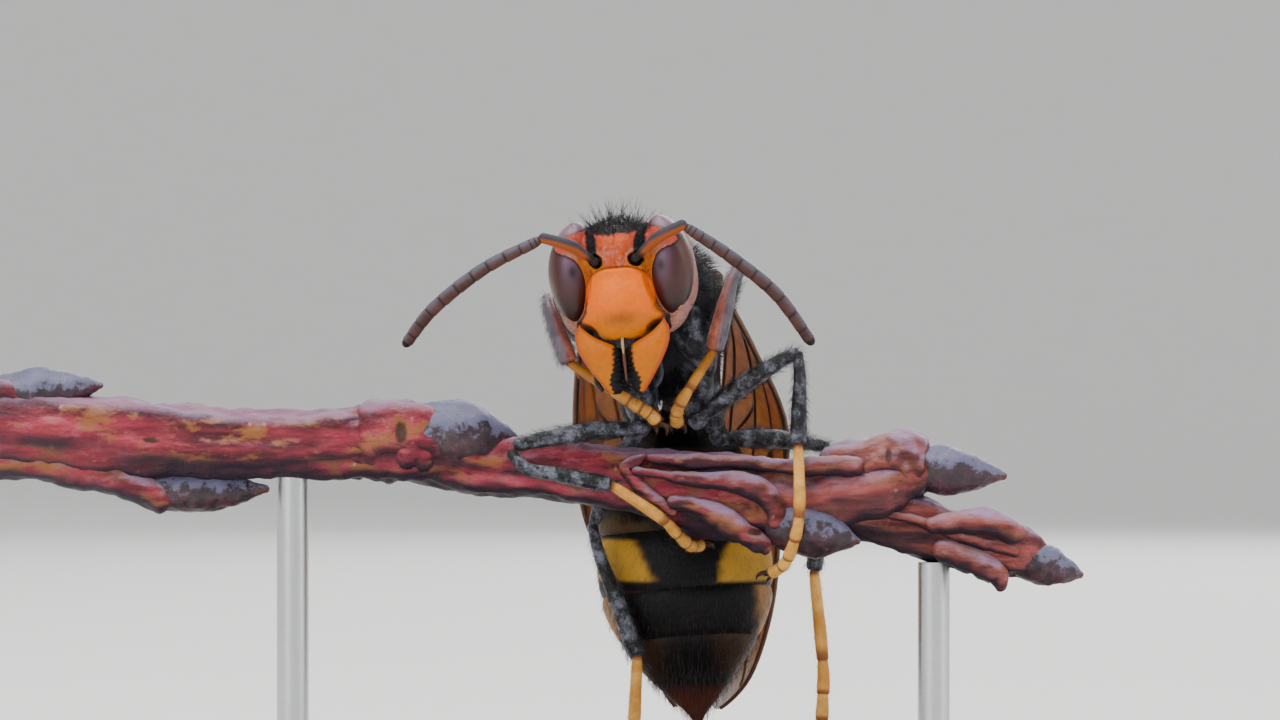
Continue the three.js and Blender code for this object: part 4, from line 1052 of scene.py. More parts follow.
def jaw_tint(points):
    """Orange-yellow, red-brown at the rim, black along the toothed inner edge."""
    x, y, z = points.T
    side = np.abs(x)
    down = np.clip((-z - 2.34) / 1.9, 0, 1)
    strip = np.interp(down, np.linspace(0, 1, len(JAW_STRIP)), JAW_STRIP)
    strip = strip + 0.035 * np.sin(z * TEETH) + wander(points, 0.12) * 0.03
    outer = np.interp((JAW_TOP - z) / (JAW_TOP - JAW_TIP), np.linspace(0, 1, len(JAW_OUTER)), JAW_OUTER)
    tint = mixed(plain((0.54, 0.130, 0.0), points), (0.54, 0.150, 0.0), soft_step(-z, 2.6, 3.6))
    tint = mixed(tint, (0.42, 0.055, 0.012), 0.8 * soft_step(side, outer - 0.18, outer - 0.02))
    tint = mixed(tint, (0.42, 0.075, 0.014), 0.5 * soft_step(z, -2.0, -1.6))
    tint = mixed(tint, (0.07, 0.02, 0.012), soft_step(y, -0.95, -0.8))
    return mixed(tint, (0.006, 0.005, 0.006), soft_step(strip - side, -0.01, 0.02) * (z < -2.2))


for name, side in (("left", 1), ("right", -1)):
    bm = bmesh.new()
    sweep(bm, [(0, 0, JAW_TOP), (0, 0, JAW_TIP)], [1, 1], sides=80, steps=90, lie=(0, 1, 0),
          ends=(0.06, 0.12))
    for vert in bm.verts:
        part = (JAW_TOP - vert.co.z) / (JAW_TOP - JAW_TIP)
        inner, outer = between(JAW_INNER, part), between(JAW_OUTER, part)
        half = (outer - inner) / 2
        vert.co.x = side * (inner + outer) / 2 + vert.co.x * half
        vert.co.y = -1.02 - 0.16 * math.sin(part * 3) + vert.co.y * (0.10 + 0.30 * half)
    for vert in bm.verts:
        x, y, z = vert.co
        if abs(x) < 0.4 and z < -2.3:
            vert.co.x -= side * 0.045 * math.sin(z * TEETH)
            vert.co.y += 0.10 * (0.4 - abs(x)) / 0.3
        if abs(x) < 0.55 and z < -3.45:
            vert.co.x -= side * 0.08 * (0.55 - abs(x)) * math.sin(z * 14)
    dye(bm, jaw_tint(np.array([vert.co[:] for vert in bm.verts])))
    put(f"jaw_{name}", bm, face_shell, [f"mandible_{name}"], HEAD)

bm = bmesh.new()
sweep(bm, [(0, -1.18, -2.1), (0, -1.26, -2.35), (0, -1.2, -2.72)], [0.05, 0.06, 0.035], sides=14, steps=12,
      flat=0.7)
lip_ivory, place = start_finish("pale_lip")
streaks = place.grain(0.00012)
shade(lip_ivory, place, streaks.tint((0.30, 0.17, 0.05, 1), (0.58, 0.42, 0.17, 1)), 0.35, streaks, 0.00001)
put("lip", bm, lip_ivory, [], HEAD)
tongue_brown, place = start_finish("tongue_brown")
streaks = place.grain(0.00012)
streaked = streaks.tint((0.035, 0.010, 0.006, 1), (0.15, 0.040, 0.018, 1))
shade(tongue_brown, place, streaked, 0.4, streaks, 0.00001)
bm = bmesh.new()
sweep(bm, [(0, -1.0, -2.3), (0, -1.12, -2.9), (0, -1.02, -3.7)], [0.08, 0.085, 0.05], sides=14, steps=14,
      flat=0.8)
put("tongue", bm, tongue_brown, [], HEAD)
bm = bmesh.new()
sweep(bm, [(0, -0.2, -1.5), (0, -0.45, -2.6), (0, -0.55, -3.6)], [0.9, 0.8, 0.35], sides=24, steps=16,
      flat=0.8)
for side in (1, -1):
    palp = [(side * x, y, z) for x, y, z in ((0.5, -0.3, -2.2), (1.05, -0.35, -2.9), (1.2, -0.5, -3.6),
                                             (1.0, -0.6, -4.0))]
    sweep(bm, palp, [0.12, 0.13, 0.11, 0.08], sides=12, steps=16)
put("mouthparts", bm, black, [], HEAD)


def face_hair(place, near):
    """Short down on the cheeks and brow, a few hairs low on the face plate, a fringe along its lower edge and
    longer hair on the crown. The eyes are bare."""
    x, y, z = place.T
    side = np.abs(x)
    eye = reach_of(side, z, eye_line)
    plate = reach_of(x, z, face_line)
    fuzz = np.where(soft_spot((x - 0.1) / 0.7, (z + 1.5) / 0.35) > 0.4, 0.11, 0)
    grow = np.where(plate < 0, fuzz, 0.20 - 0.10 * np.clip(side - 1.5, 0, 1))
    grow = np.where(reach_of(x, z, brow_line) < 0, 0.16, grow)
    grow = np.where((plate < 0.03) & (plate > -0.08) & (z < -1.75), 0.32, grow)
    grow = np.where((z > 1.7) & (side < 1.3), 0.30, grow)
    grow = np.where((eye < 0.03) & (y < 0.4), 0, grow)
    return grow, np.tile(toward(HEAD, (0, -0.1, -1)), (len(place), 1))


def crown_hair(place, near):
    """Long fine bristles that stand up from the crown and spread a little to its sides."""
    x, y, z = place.T
    crown = (z > 1.72) & (np.abs(x) < 1.55) & (y < 0.5)
    upright = toward(HEAD, (0, 0, 1)) + np.outer(x * 0.48, toward(HEAD, (1, 0, 0)))
    return np.where(crown, 1.0 - 0.22 * np.abs(x), 0), upright - 0.1 * toward(HEAD, (0, 1, 0))


tufts("face_down", head, 15000, 0.62, 0.006, dark_hair, face_hair, droop=0.4, lift=0.7, seed=5)
tufts("crown_down", head, 2600, 0.36, 0.006, dark_hair, crown_hair, droop=0.2, lift=0.5,
      seed=7)
tufts("crown_bristles", head, 1300, 0.98, 0.0155, dark_hair, crown_hair, droop=0.05,
      lift=0.35, seed=6)

# FEELERS
# Each has a long elbowed root joint, a small hinge joint and a whip of ten like joints, closely ringed. They
# are grey-black above and orange to red-brown below, with a fine matt down.
SCAPE_RADII = (0.13, 0.19, 0.225, 0.20)
WHIP_RADII = (0.215, 0.245, 0.25, 0.215)
WHIP_JOINTS = 10
# Each feeler's side, its elbow, and the places along its whip.
FEELERS = {
    "left": (1, (1.56, -2.0, 4.96), [(3.3, -1.8, 3.81), (5.0, -1.3, 2.44), (6.26, -0.8, 0.74)]),
    "right": (-1, (-3.56, -1.5, 4.48), [(-5.78, -1.4, 3.33), (-7.6, -1.0, 1.9), (-8.59, -0.5, 0.67)]),
}
HEAD_TO_PERCH = PERCH.inverted() @ HEAD

feeler_shell, place = start_finish("two_tone_feeler")
facing = place.upward()
ring_mark = place.kept("ring")
root_part = place.kept("root_part")
down = place.grain(0.00007, detail=3)
cloud = place.grain(0.0007, detail=4)
above = root_part.tint((facing + cloud * 0.5).rise(-0.05, 0.80), (facing + cloud * 0.4).rise(-0.15, 0.40))
below_whip = cloud.rise(0.3, 0.7).tint((0.050, 0.017, 0.012, 1), (0.095, 0.038, 0.030, 1))
below = root_part.tint(below_whip, (0.29, 0.060, 0.001, 1))
top = root_part.tint((0.088, 0.078, 0.104, 1), (0.034, 0.031, 0.044, 1))
bare = above.tint(below, top)
ringed = (ring_mark * 0.97).tint(bare, (0.004, 0.003, 0.003, 1))
shade(feeler_shell, place, ringed, 0.42 + down * 0.25, down, 0.000012,
      {"Sheen Weight": 0.10, "Sheen Roughness": 0.4, "Sheen Tint": (0.8, 0.75, 0.9, 1),
       "Specular IOR Level": 0.28})


def whip_form(part, turn):
    """Each joint of the whip is a little wider at its far end, with a groove on either side of it."""
    share = (part * WHIP_JOINTS) % 1
    return 0.955 + 0.06 * share - 0.07 * math.exp(-(min(share, 1 - share) / 0.05) ** 2)


def mark(bm, name, reading):
    """Keeps a number from 0 to 1 at every point, as reading(vert) gives it."""
    layer = bm.verts.layers.float.get(name) or bm.verts.layers.float.new(name)
    for vert in bm.verts:
        vert[layer] = reading(vert)


for name, (side, elbow, arch) in FEELERS.items():
    root = HEAD_TO_PERCH @ Vector((side * 0.75, -1.25, 0.74))
    bend = root.lerp(Vector(elbow), 0.5) + Vector((0, -0.22, 0.16))
    bm = bmesh.new()
    bmesh.ops.create_uvsphere(bm, u_segments=20, v_segments=14, radius=0.16, matrix=Matrix.Translation(root))
    sweep(bm, [root, root.lerp(bend, 0.55), bend, elbow], SCAPE_RADII, sides=28, steps=30, ends=(0.3, 0.9))
    mark(bm, "ring", lambda vert: min(1, max(0, 2.3 - (vert.co - root).length / 0.24)))
    mark(bm, "root_part", lambda vert: 1.0)
    put(f"feeler_root_{name}", bm, feeler_shell, [f"antenna_scape_{name}"], PERCH)
    onward = (Vector(arch[0]) - Vector(elbow)).normalized()
    bm = bmesh.new()
    hinge = [Vector(elbow) + onward * reach for reach in (0.16, 0.3, 0.5)]
    sweep(bm, hinge, [0.15, 0.19, 0.21], sides=24, steps=8)
    sweep(bm, [hinge[-1], *arch], WHIP_RADII, sides=28, steps=WHIP_JOINTS * 12, form=whip_form,
          ends=(0.3, 1.1))
    along = bm.verts.layers.float["along"]
    mark(bm, "ring", lambda vert: math.exp(-(((vert[along] * WHIP_JOINTS + 0.5) % 1 - 0.5) / 0.06) ** 2))
    mark(bm, "root_part", lambda vert: 0.0)
    put(f"feeler_whip_{name}", bm, feeler_shell, [f"antenna_flagellum_{name}"], PERCH)

# GASTER
# Six hard rings that slide into one another like the joints of a telescope and taper to the sting. They are
# black-brown. The first two have thin yellow hind edges, the third shows a broad yellow patch on each side of
# its under half, and the fourth is nearly all orange on its upper half.
GASTER_TOP, GASTER_TIP = -1.85, -13.75
GASTER_HALF = (3.25, 2.75)
GASTER_WIDTH = [0.16, 0.62, 0.78, 0.88, 0.95, 0.99, 1, 0.96, 0.83, 0.62, 0.34, 0.06]
GASTER_X = [1.32, 1.5, 1.62, 1.8, 1.98, 2.2]
GASTER_Y = [6.95, 7.15, 7.0, 6.8, 6.45, 6.0]
RING_ENDS = [-3.35, -6.5, -8.8, -10.7, -12.15, -13.75]
RING_OVERLAP = 0.35
RING_GAP = 0.10
WAIST_FOOT = (1.32, 6.95, -1.95)


def gaster_size(z):
    """The middle and the half width of the gaster at a height."""
    part = (GASTER_TOP - z) / (GASTER_TOP - GASTER_TIP)
    return Vector((between(GASTER_X, part), between(GASTER_Y, part), z)), between(GASTER_WIDTH, part)


banded, place = start_finish("banded_gaster_shell")
tint = place.kept("tint", "Color")
fine = place.grain(0.00016, detail=4)
cloud = place.grain(0.0011, detail=4)
pits = place.cells(0.00014)
ring_colour = tint.brighter(0.72 + cloud * 0.3 + fine * 0.26)
shade(banded, place, ring_colour, 0.34 + fine * 0.2, pits * 0.7 + fine * 0.5, 0.000022,
      {"Specular IOR Level": 0.14})
DARK_RING = (0.0042, 0.0036, 0.0042)
RING_YELLOW = (0.58, 0.27, 0.015)


def ring_tint(points, number, top, bottom):
    """The bands of one ring. back is 1 on its upper side, and -1 on its under side, which faces the twig."""
    x, y, z = points.T
    part = (GASTER_TOP - z) / (GASTER_TOP - GASTER_TIP)
    middle_x = np.array([between(GASTER_X, value) for value in part])
    middle_y = np.array([between(GASTER_Y, value) for value in part])
    across = (x - middle_x) / GASTER_HALF[0]
    back = np.clip((y - middle_y) / GASTER_HALF[1] * 1.6, -1, 1)
    down = (top - z) / (top - bottom)
    stray = wander(points, 0.7) * 0.07
    back = back + wander(points, 0.5, 9.0) * 0.22
    tint = plain(DARK_RING, points)
    upper = soft_step(back, -0.35, -0.05)
    thin_band = soft_step(down + stray, 0.85, 0.90)
    if number in (1, 2):
        tint = mixed(tint, RING_YELLOW, thin_band * upper)
        faint = soft_step(np.abs(across) + stray, 0.25, 0.6) * soft_step(down + stray * 2, 0.74, 0.90)
        tint = mixed(tint, (0.12, 0.062, 0.010), 0.5 * (1 - upper) * faint * (number == 2))
    if number == 3:
        side_patch = soft_step(np.abs(across) + 0.30 * down + stray, 0.56, 0.68) * (1 - upper)
        side_patch = side_patch * soft_step(down, 0.10, 0.2) * soft_step(0.86 - down, 0, 0.08)
        tint = mixed(tint, (0.42, 0.225, 0.022), side_patch)
        tint = mixed(tint, (0.66, 0.30, 0.03), upper * soft_step(down + stray, 0.55, 0.62))
    if number == 4:
        base = 0.42 * np.clip(1 - np.abs(across) * 1.6, 0, 1)
        tint = mixed(tint, (0.64, 0.24, 0.02), upper * soft_step(down + stray - base, 0.04, 0.12))
        tint = mixed(tint, (0.30, 0.155, 0.060), (1 - upper) * soft_step(np.abs(across) + stray, 0.74, 0.90))
    if number == 5:
        tint = mixed(tint, (0.12, 0.045, 0.015), upper * soft_step(down, 0.3, 0.7))
        tint = mixed(tint, (0.060, 0.030, 0.016), (1 - upper) * soft_step(np.abs(across) + stray, 0.1, 0.8))
    if number == 6:
        tint = mixed(tint, (0.085, 0.020, 0.010), soft_step(down, 0.0, 0.5))
    return mixed(tint, (0.05, 0.025, 0.015), soft_step(down, 0.965, 0.99) * 0.6)


def side_seam(part, turn):
    """The upper plate of a ring overlaps the lower one, so there is a step down each side."""
    return 1 + 0.012 * math.tanh(8 * math.sin(turn)) - 0.012 * math.exp(-(math.sin(turn) / 0.05) ** 2)


def ring_lip(down):
    """A ring's share of the gaster's width: tucked in at its top, and turned in at its end."""
    return (0.935 + 0.085 * min(1, down * 3.2) + 0.012 * math.sin(math.pi * down)
            - 0.02 * max(0, down - 0.94) / 0.06)


gaster_rings = []
ring_top = GASTER_TOP
for number, ring_end in enumerate(RING_ENDS, 1):
    start = ring_top + (RING_OVERLAP if number > 1 else 0.0)
    end = ring_end - (0.0 if number == 6 else RING_GAP)
    middles, halves = [], []
    for k in range(12):
        z = start + (end - start) * k / 11
        middle, width = gaster_size(max(z, GASTER_TIP))
        lip = ring_lip((start - z) / (start - end))
        middles.append(middle)
        halves.append(width * GASTER_HALF[1] * (lip if number > 1 else min(1.0, lip + 0.04)))
    bm = bmesh.new()
    sweep(bm, middles, halves, sides=132, steps=54, lie=(1, 0, 0), flat=GASTER_HALF[0] / GASTER_HALF[1],
          ends=(0.02, 0.3 if number == 6 else 0.02), form=side_seam)
    if number == 6:
        sting = [(2.2, 6.0, -13.4), (2.22, 5.9, -13.8), (2.25, 5.75, -14.05)]
        sweep(bm, sting, [0.11, 0.08, 0.02], sides=12, steps=8)
    dye(bm, ring_tint(np.array([vert.co[:] for vert in bm.verts]), number, ring_top, ring_end))
    ring_piece = put(f"gaster_ring_{number}", bm, banded,
                     [f"gaster_segment_{number}"], PERCH)
    gaster_rings.append(ring_piece)
    ring_top = ring_end

bm = bmesh.new()
waist_end = PERCH.inverted() @ THORAX @ Vector((0, 3.2, -0.3))
waist_middle = waist_end.lerp(Vector((1.32, 6.95, -1.9)), 0.5)
sweep(bm, [waist_end, waist_middle, WAIST_FOOT], [0.5, 0.4, 0.52], sides=24, steps=12)
put("waist_stalk", bm, black, ["waist"], PERCH)


def gaster_hair(place, near):
    """Sparse short hairs that lie towards the tip, a little longer near it."""
    grow = 0.55 + 0.45 * np.clip((-place[:, 2] - 9) / 4, 0, 1)
    return grow, np.tile((0.0, 0.0, -1.0), (len(place), 1))


for number, ring_piece in enumerate(gaster_rings, 1):
    tufts(f"gaster_hair_{number}", ring_piece, 420 if number == 1 else 1300, 0.42, 0.008, dark_hair,
          gaster_hair, droop=0.5, lift=0.45, seed=20 + number)

# LEGS
# Six legs of hard jointed tubes: a thick hip piece, a small ring, a stout thigh, a shin with spurs at its
# end, and five small foot joints with a pair of claws. Thighs and shins are black with painted blue-grey
# glints, the fore shins rust on one side and slate on the other, and the feet yellow, the fore feet darkened
# with painted shade.
# The hips are in the thorax's frame, and everything else in the twig's.
LEGS = {
    "fore_left": dict(
        hip=(0.95, -1.9, -1.45), ring=(2.5, 1.55, -0.35), knee=(3.68, 1.85, 3.3), shin=(3.5, 1.05, 3.25),
        ankle=(2.76, 0.85, 0.37), foot=[(1.68, 0.55, -1.31), (1.4, 0.7, -1.85), (1.35, 1.05, -2.15)],
        toe=(1.4, 1.5, -2.35)),
    "fore_right": dict(
        hip=(-0.95, -1.75, -1.45), ring=(-0.75, 1.8, -1.0), knee=(-3.35, 2.35, 2.15), shin=(-3.5, 1.55, 2.2),
        ankle=(-2.65, 0.65, -0.11), foot=[(-0.95, 0.5, -1.18), (-0.1, 0.45, -1.72), (0.35, 0.5, -2.0)],
        toe=(0.62, 0.75, -2.28)),
    "mid_left": dict(
        hip=(1.05, 0.5, -1.75), ring=(2.1, 2.0, -2.3), knee=(5.8, 0.95, 0.3), shin=(5.95, 0.85, -0.25),
        ankle=(5.87, 0.35, -3.16), foot=[(5.91, 0.0, -5.28), (5.8, 0.1, -6.4), (5.4, 0.75, -7.55)],
        toe=(4.85, 1.35, -7.95)),
    "mid_right": dict(
        hip=(-1.05, 0.5, -1.75), ring=(0.05, 1.6, -2.55), knee=(-4.6, 0.25, -3.15), shin=(-4.6, 0.0, -3.95),
        ankle=(-1.08, 0.1, -4.62), foot=[(0.74, 0.6, -5.84), (1.4, 1.3, -6.5), (1.9, 2.1, -6.95)],
        toe=(2.3, 2.8, -6.95)),
    "hind_left": dict(
        hip=(1.1, 2.0, -1.35), ring=(2.95, 4.25, -2.95), knee=(7.15, 6.45, -3.3), shin=(7.2, 6.75, -3.85),
        ankle=(6.67, 7.0, -8.09), foot=[(7.01, 7.1, -11.54), (7.0, 6.95, -13.1), (6.9, 6.75, -14.6)],
        toe=(6.75, 6.5, -15.2)),
    "hind_right": dict(
        hip=(-1.1, 2.0, -1.35), ring=(-0.25, 4.2, -2.9), knee=(-1.75, 4.7, -6.15), shin=(-1.75, 4.5, -6.8),
        ankle=(-0.1, 4.4, -11.2), foot=[(-0.25, 5.1, -14.5), (-0.25, 5.5, -15.9), (0.0, 5.95, -16.8)],
        toe=(0.25, 6.3, -17.2)),
}
THIGH_RADIUS = {"fore": 0.43, "mid": 0.41, "hind": 0.43}
SHIN_RADIUS = {"fore": 0.35, "mid": 0.30, "hind": 0.32}
FOOT_JOINTS = [0.0, 0.46, 0.64, 0.78, 0.87, 0.97]
FOOT_RADIUS = {"fore": (0.185, 0.22, 0.24, 0.24, 0.25), "mid": (0.22, 0.22, 0.23, 0.23, 0.24),
               "hind": (0.24, 0.25, 0.25, 0.25, 0.25)}
THORAX_TO_PERCH = PERCH.inverted() @ THORAX

leg_black, place = start_finish("slate_black_leg")
fine = place.grain(0.00008, detail=3)
cloud = place.grain(0.0008, detail=4)
patch = place.grain(0.00045, detail=5)
# Painted highlights: blue-grey glints in patches on the black.
glints = (cloud * 0.35 + patch * 0.5 + fine * 0.25).rise(0.49, 0.68)
leg_colour = glints.tint((0.0028, 0.0028, 0.0042, 1), (0.185, 0.196, 0.250, 1))
dents = place.grain(0.00042, detail=5)
shade(leg_black, place, leg_colour, 0.24 + cloud * 0.3, fine * 0.4 + dents * 1.5, 0.00009,
      {"Sheen Weight": 0.06, "Sheen Roughness": 0.4, "Sheen Tint": (0.6, 0.66, 0.85, 1),
       "Specular IOR Level": 0.35})

fore_shin, place = start_finish("rust_fore_shin")
along = place.kept("along")
outer_side = place.kept("outer")
fine = place.grain(0.00010, detail=3)
cloud = place.grain(0.0007, detail=4)
rust = cloud.rise(0.35, 0.65).tint((0.22, 0.040, 0.014, 1), (0.46, 0.098, 0.034, 1))
slate = cloud.rise(0.3, 0.7).tint((0.075, 0.060, 0.078, 1), (0.14, 0.108, 0.135, 1))
shaded = (outer_side + cloud * 0.6 - along * 0.34).rise(0.28, 0.78).tint(rust, slate)
shade(fore_shin, place, shaded, 0.38 + fine * 0.25, fine, 0.000016,
      {"Sheen Weight": 0.3, "Sheen Tint": (0.8, 0.75, 0.95, 1)})

foot_yellow, place = start_finish("straw_yellow_foot")
along = place.kept("along")
claw_part = place.kept("claw")
fine = place.grain(0.00010, detail=3)
cloud = place.grain(0.0008, detail=4)
# Painted shade: the fore feet take a darker copy of the straw colour.
dusky = place.kept("dusky")
clouded = cloud.rise(0.3, 0.7)
pale_straw = clouded.tint((0.60, 0.26, 0.035, 1), (0.86, 0.46, 0.105, 1))
straw = dusky.tint(pale_straw, clouded.tint((0.25, 0.078, 0.002, 1), (0.46, 0.170, 0.006, 1)))
joint_mark = (0.12 - along).rise(0.0, 0.10) + (along - 0.82).rise(0.0, 0.13)
jointed = (joint_mark * 0.85).tint(straw, (0.20, 0.042, 0.012, 1))
clawed = claw_part.tint(jointed, (0.035, 0.014, 0.008, 1))
shade(foot_yellow, place, clawed, 0.36 + fine * 0.25, fine, 0.000014,
      {"Subsurface Weight": 0.1, "Subsurface Scale": 0.0002, "Subsurface Radius": (1.0, 0.5, 0.15),
       "Specular IOR Level": 0.3})


def hip_form(bm, hip, ring, down_thigh):
    """The thick hip piece and the small ring at its end."""
    down_hip = (ring - hip).normalized()
    sweep(bm, [hip, hip.lerp(ring, 0.5), ring - down_hip * 0.35], [0.70, 0.66, 0.36], sides=30, steps=18,
          ends=(0.5, 0.5))
    sweep(bm, [ring - down_hip * 0.2, ring, ring + down_thigh * 0.28], [0.27, 0.33, 0.28], sides=24, steps=10)
    rough_up(bm, 0.05, 0.5)


def thigh_form(bm, ring, knee, down_thigh, width):
    """A stout tube, bowed a little, thickest near the hip."""
    bow = down_thigh.cross(Vector((0, 1, 0))).normalized() * (0.10 if knee.x > ring.x else -0.10)
    route = [ring + down_thigh * 0.15, ring.lerp(knee, 0.33) + bow, ring.lerp(knee, 0.66) + bow,
             knee - down_thigh * 0.12]
    sweep(bm, route, [0.24, width, width * 0.88, 0.27], sides=30, steps=34, flat=0.88, ends=(0.5, 0.9))
    rough_up(bm, 0.03, 0.4)


def shin_form(bm, knee, shin, ankle, width, spur_turns, side):
    """A tube that widens to the ankle, with a spur at each of these turns, marked where it faces outwards."""
    down_shin = (ankle - shin).normalized()
    route = [knee.lerp(shin, 0.45) - down_shin * 0.15,
             *(shin.lerp(ankle, share) for share in (0.12, 0.4, 0.66, 0.86)), ankle - down_shin * 0.12]
    sweep(bm, route, [0.20, 0.23, width * 0.9, width, width * 1.04, width * 0.96], sides=30, steps=36,
          ends=(0.8, 0.4))
    outwards = (down_shin * 0.9 + Vector((0.35, -0.25, 0)).cross(down_shin).normalized() * 0.4).normalized()
    for turn in spur_turns:
        spur = Matrix.Rotation(math.radians(turn), 3, down_shin) @ outwards
        root = ankle - down_shin * 0.2 + spur * 0.1
        sweep(bm, [root, root + spur * 0.35, root + spur * 0.75 + down_shin * 0.08], [0.07, 0.05, 0.012],
              sides=10, steps=8)
    sideways = Vector((side * 0.95, 0.1, 0.2))
    sideways = (sideways - down_shin * sideways.dot(down_shin)) * 0.5 / width
    mark(bm, "outer", lambda vert: min(1, max(0, 0.5 + (vert.co - shin).dot(sideways))))


def on_route(route, share):
    """The point a share of the way down a route, by its length."""
    lengths = [(b - a).length for a, b in zip(route, route[1:])]
    stops = [sum(lengths[:k]) / sum(lengths) for k in range(len(route))]
    k = max(i for i in range(len(route) - 1) if stops[i] <= min(share, 0.999))
    here = (min(share, 1) - stops[k]) / (stops[k + 1] - stops[k])
    return between(route, (k + here) / (len(route) - 1))


def foot_form(bm, route, radii):
    """Five joints, each wider at its far end, then a pad and two hooked claws, which are marked."""
    for a, b, radius in zip(FOOT_JOINTS, FOOT_JOINTS[1:], radii):
        stretch = [on_route(route, a + (b - a) * k / 4 + 0.004) for k in range(5)]
        sweep(bm, stretch, [radius * 0.76, radius * 0.9, radius * 0.94, radius * 1.03, radius * 0.96],
              sides=24, steps=16, ends=(0.35, 0.4))
    end = on_route(route, 0.975)
    onward = (on_route(route, 1.0) - on_route(route, 0.93)).normalized()
    claw_side = onward.cross(Vector((0.2, 0.3, 1))).normalized()
    hook = claw_side.cross(onward)
    foot_points = len(bm.verts)
    for side in (1, -1):
        claw = [end + onward * far + claw_side * side * wide - hook * bent
                for far, wide, bent in ((0, 0, 0), (0.28, 0.2, 0), (0.5, 0.26, 0.06), (0.58, 0.24, 0.2))]
        sweep(bm, claw, [0.10, 0.085, 0.055, 0.012], sides=12, steps=12)
    sweep(bm, [end, end + onward * 0.2, end + onward * 0.34], [0.11, 0.12, 0.07], sides=14, steps=8, flat=0.6)
    keep_late(bm, "claw", foot_points)


leg_pieces = []
for name, leg in LEGS.items():
    pair, side_name = name.split("_")
    hip = THORAX_TO_PERCH @ Vector(leg["hip"])
    ring, knee, shin, ankle, toe = (Vector(leg[key]) for key in ("ring", "knee", "shin", "ankle", "toe"))
    down_thigh = (knee - ring).normalized()
    bm = bmesh.new()
    hip_form(bm, hip, ring, down_thigh)
    leg_pieces.append(put(f"leg_{name}_hip", bm, leg_black, [f"leg_{name}_coxa"], PERCH))
    bm = bmesh.new()
    thigh_form(bm, ring, knee, down_thigh, THIGH_RADIUS[pair])
    leg_pieces.append(put(f"leg_{name}_thigh", bm, leg_black, [f"leg_{name}_femur"], PERCH))
    bm = bmesh.new()
    shin_form(bm, knee, shin, ankle, SHIN_RADIUS[pair], (0, 40) if pair == "hind" else (0,),
              -1 if side_name == "right" else 1)
    leg_pieces.append(put(f"leg_{name}_shin", bm, fore_shin if pair == "fore" else leg_black,
                          [f"leg_{name}_tibia"], PERCH))
    bm = bmesh.new()
    foot_form(bm, [ankle, *(Vector(point) for point in leg["foot"]), toe], FOOT_RADIUS[pair])
    # Painted shade on the fore feet, stronger higher up; the other feet get none.
    mark(bm, "dusky", lambda vert: min(1, max(0.4, 1 + 0.28 * vert.co.z)) * (pair == "fore"))
    leg_pieces.append(put(f"leg_{name}_foot", bm, foot_yellow, [f"leg_{name}_tarsus"], PERCH))

gold_hair, place = start_finish("amber_bristle")
strand = place.grain(0.0004)
shade(gold_hair, place, strand.tint((0.16, 0.07, 0.02, 1), (0.34, 0.17, 0.05, 1)), 0.5)
LEG_HAIR = {"hip": (350, 0.34), "thigh": (900, 0.30), "shin": (700, 0.26), "foot": (600, 0.15)}


def hair_along(lies):
    """Hair all round a leg that lies down it, as each point of its skin says."""
    return lambda place, near: (np.full(len(place), 1.0), lies[near])


for number, leg_piece in enumerate(leg_pieces):
    part = leg_piece.name.split("_")[-1]
    lies = read_rows(leg_piece.data.attributes["lie"].data, "vector")
    count, length = LEG_HAIR[part]
    finish, slot = (gold_hair, "shell_yellow") if part == "foot" else (dark_hair, "shell_black")
    tufts(f"{leg_piece.name}_hair", leg_piece, count, length, 0.0065, finish, hair_along(lies),
          droop=0.35, lift=0.5, seed=40 + number)

# WINGS
# Two pairs of stiff clear amber membranes, folded lengthways into narrow strips along the back and held open
# by brown veins. They are smoky orange along the front edge, and greyer and clearer at the tip.
# Each wing is its front edge and its fold, and each vein the shares of the way along and across it.
FOREWINGS = {
    "left": (
        [(3.3, 4.55, 2.2), (4.4, 6.3, 0.2), (5.6, 7.75, -2.7), (5.35, 8.8, -6.5), (5.1, 9.25, -9.5),
         (4.35, 9.5, -12.1), (3.2, 9.7, -13.7)],
        [(2.85, 5.4, 2.35), (3.2, 8.0, 0.6), (3.0, 10.5, -2.6), (2.85, 11.35, -6.3), (2.8, 11.2, -9.3),
         (2.7, 10.6, -12.0), (2.6, 10.0, -13.4)]),
    "right": (
        [(-1.85, 4.75, 1.9), (-2.3, 6.6, 0), (-2.45, 7.8, -2.9), (-2.1, 8.75, -6.0), (-0.95, 9.4, -8.6),
         (0.4, 9.5, -11.8), (1.35, 9.7, -13.6)],
        [(-1.35, 5.55, 2.2), (-1.0, 8.1, 0.6), (-0.3, 10.5, -2.6), (0.35, 11.35, -6.3), (0.85, 11.2, -9.3),
         (1.25, 10.6, -12.0), (1.6, 10.05, -13.4)]),
}
HINDWINGS = {
    "left": (
        [(3.0, 4.9, 1.6), (2.95, 7.6, -0.6), (3.2, 9.75, -3.2), (3.0, 10.2, -6.3), (2.7, 10.1, -9.0)],
        [(2.3, 5.6, 1.5), (2.2, 8.4, -0.6), (2.0, 10.1, -3.2), (1.95, 10.5, -6.3), (2.3, 10.2, -8.9)]),
    "right": (
        [(-1.4, 5.1, 1.5), (-0.6, 7.8, -0.6), (-0.1, 9.75, -3.2), (0.3, 10.2, -6.3), (0.95, 10.1, -9.0)],
        [(-0.7, 5.8, 1.4), (0.3, 8.6, -0.6), (1.1, 10.1, -3.2), (1.3, 10.5, -6.3), (1.4, 10.2, -8.9)]),
}
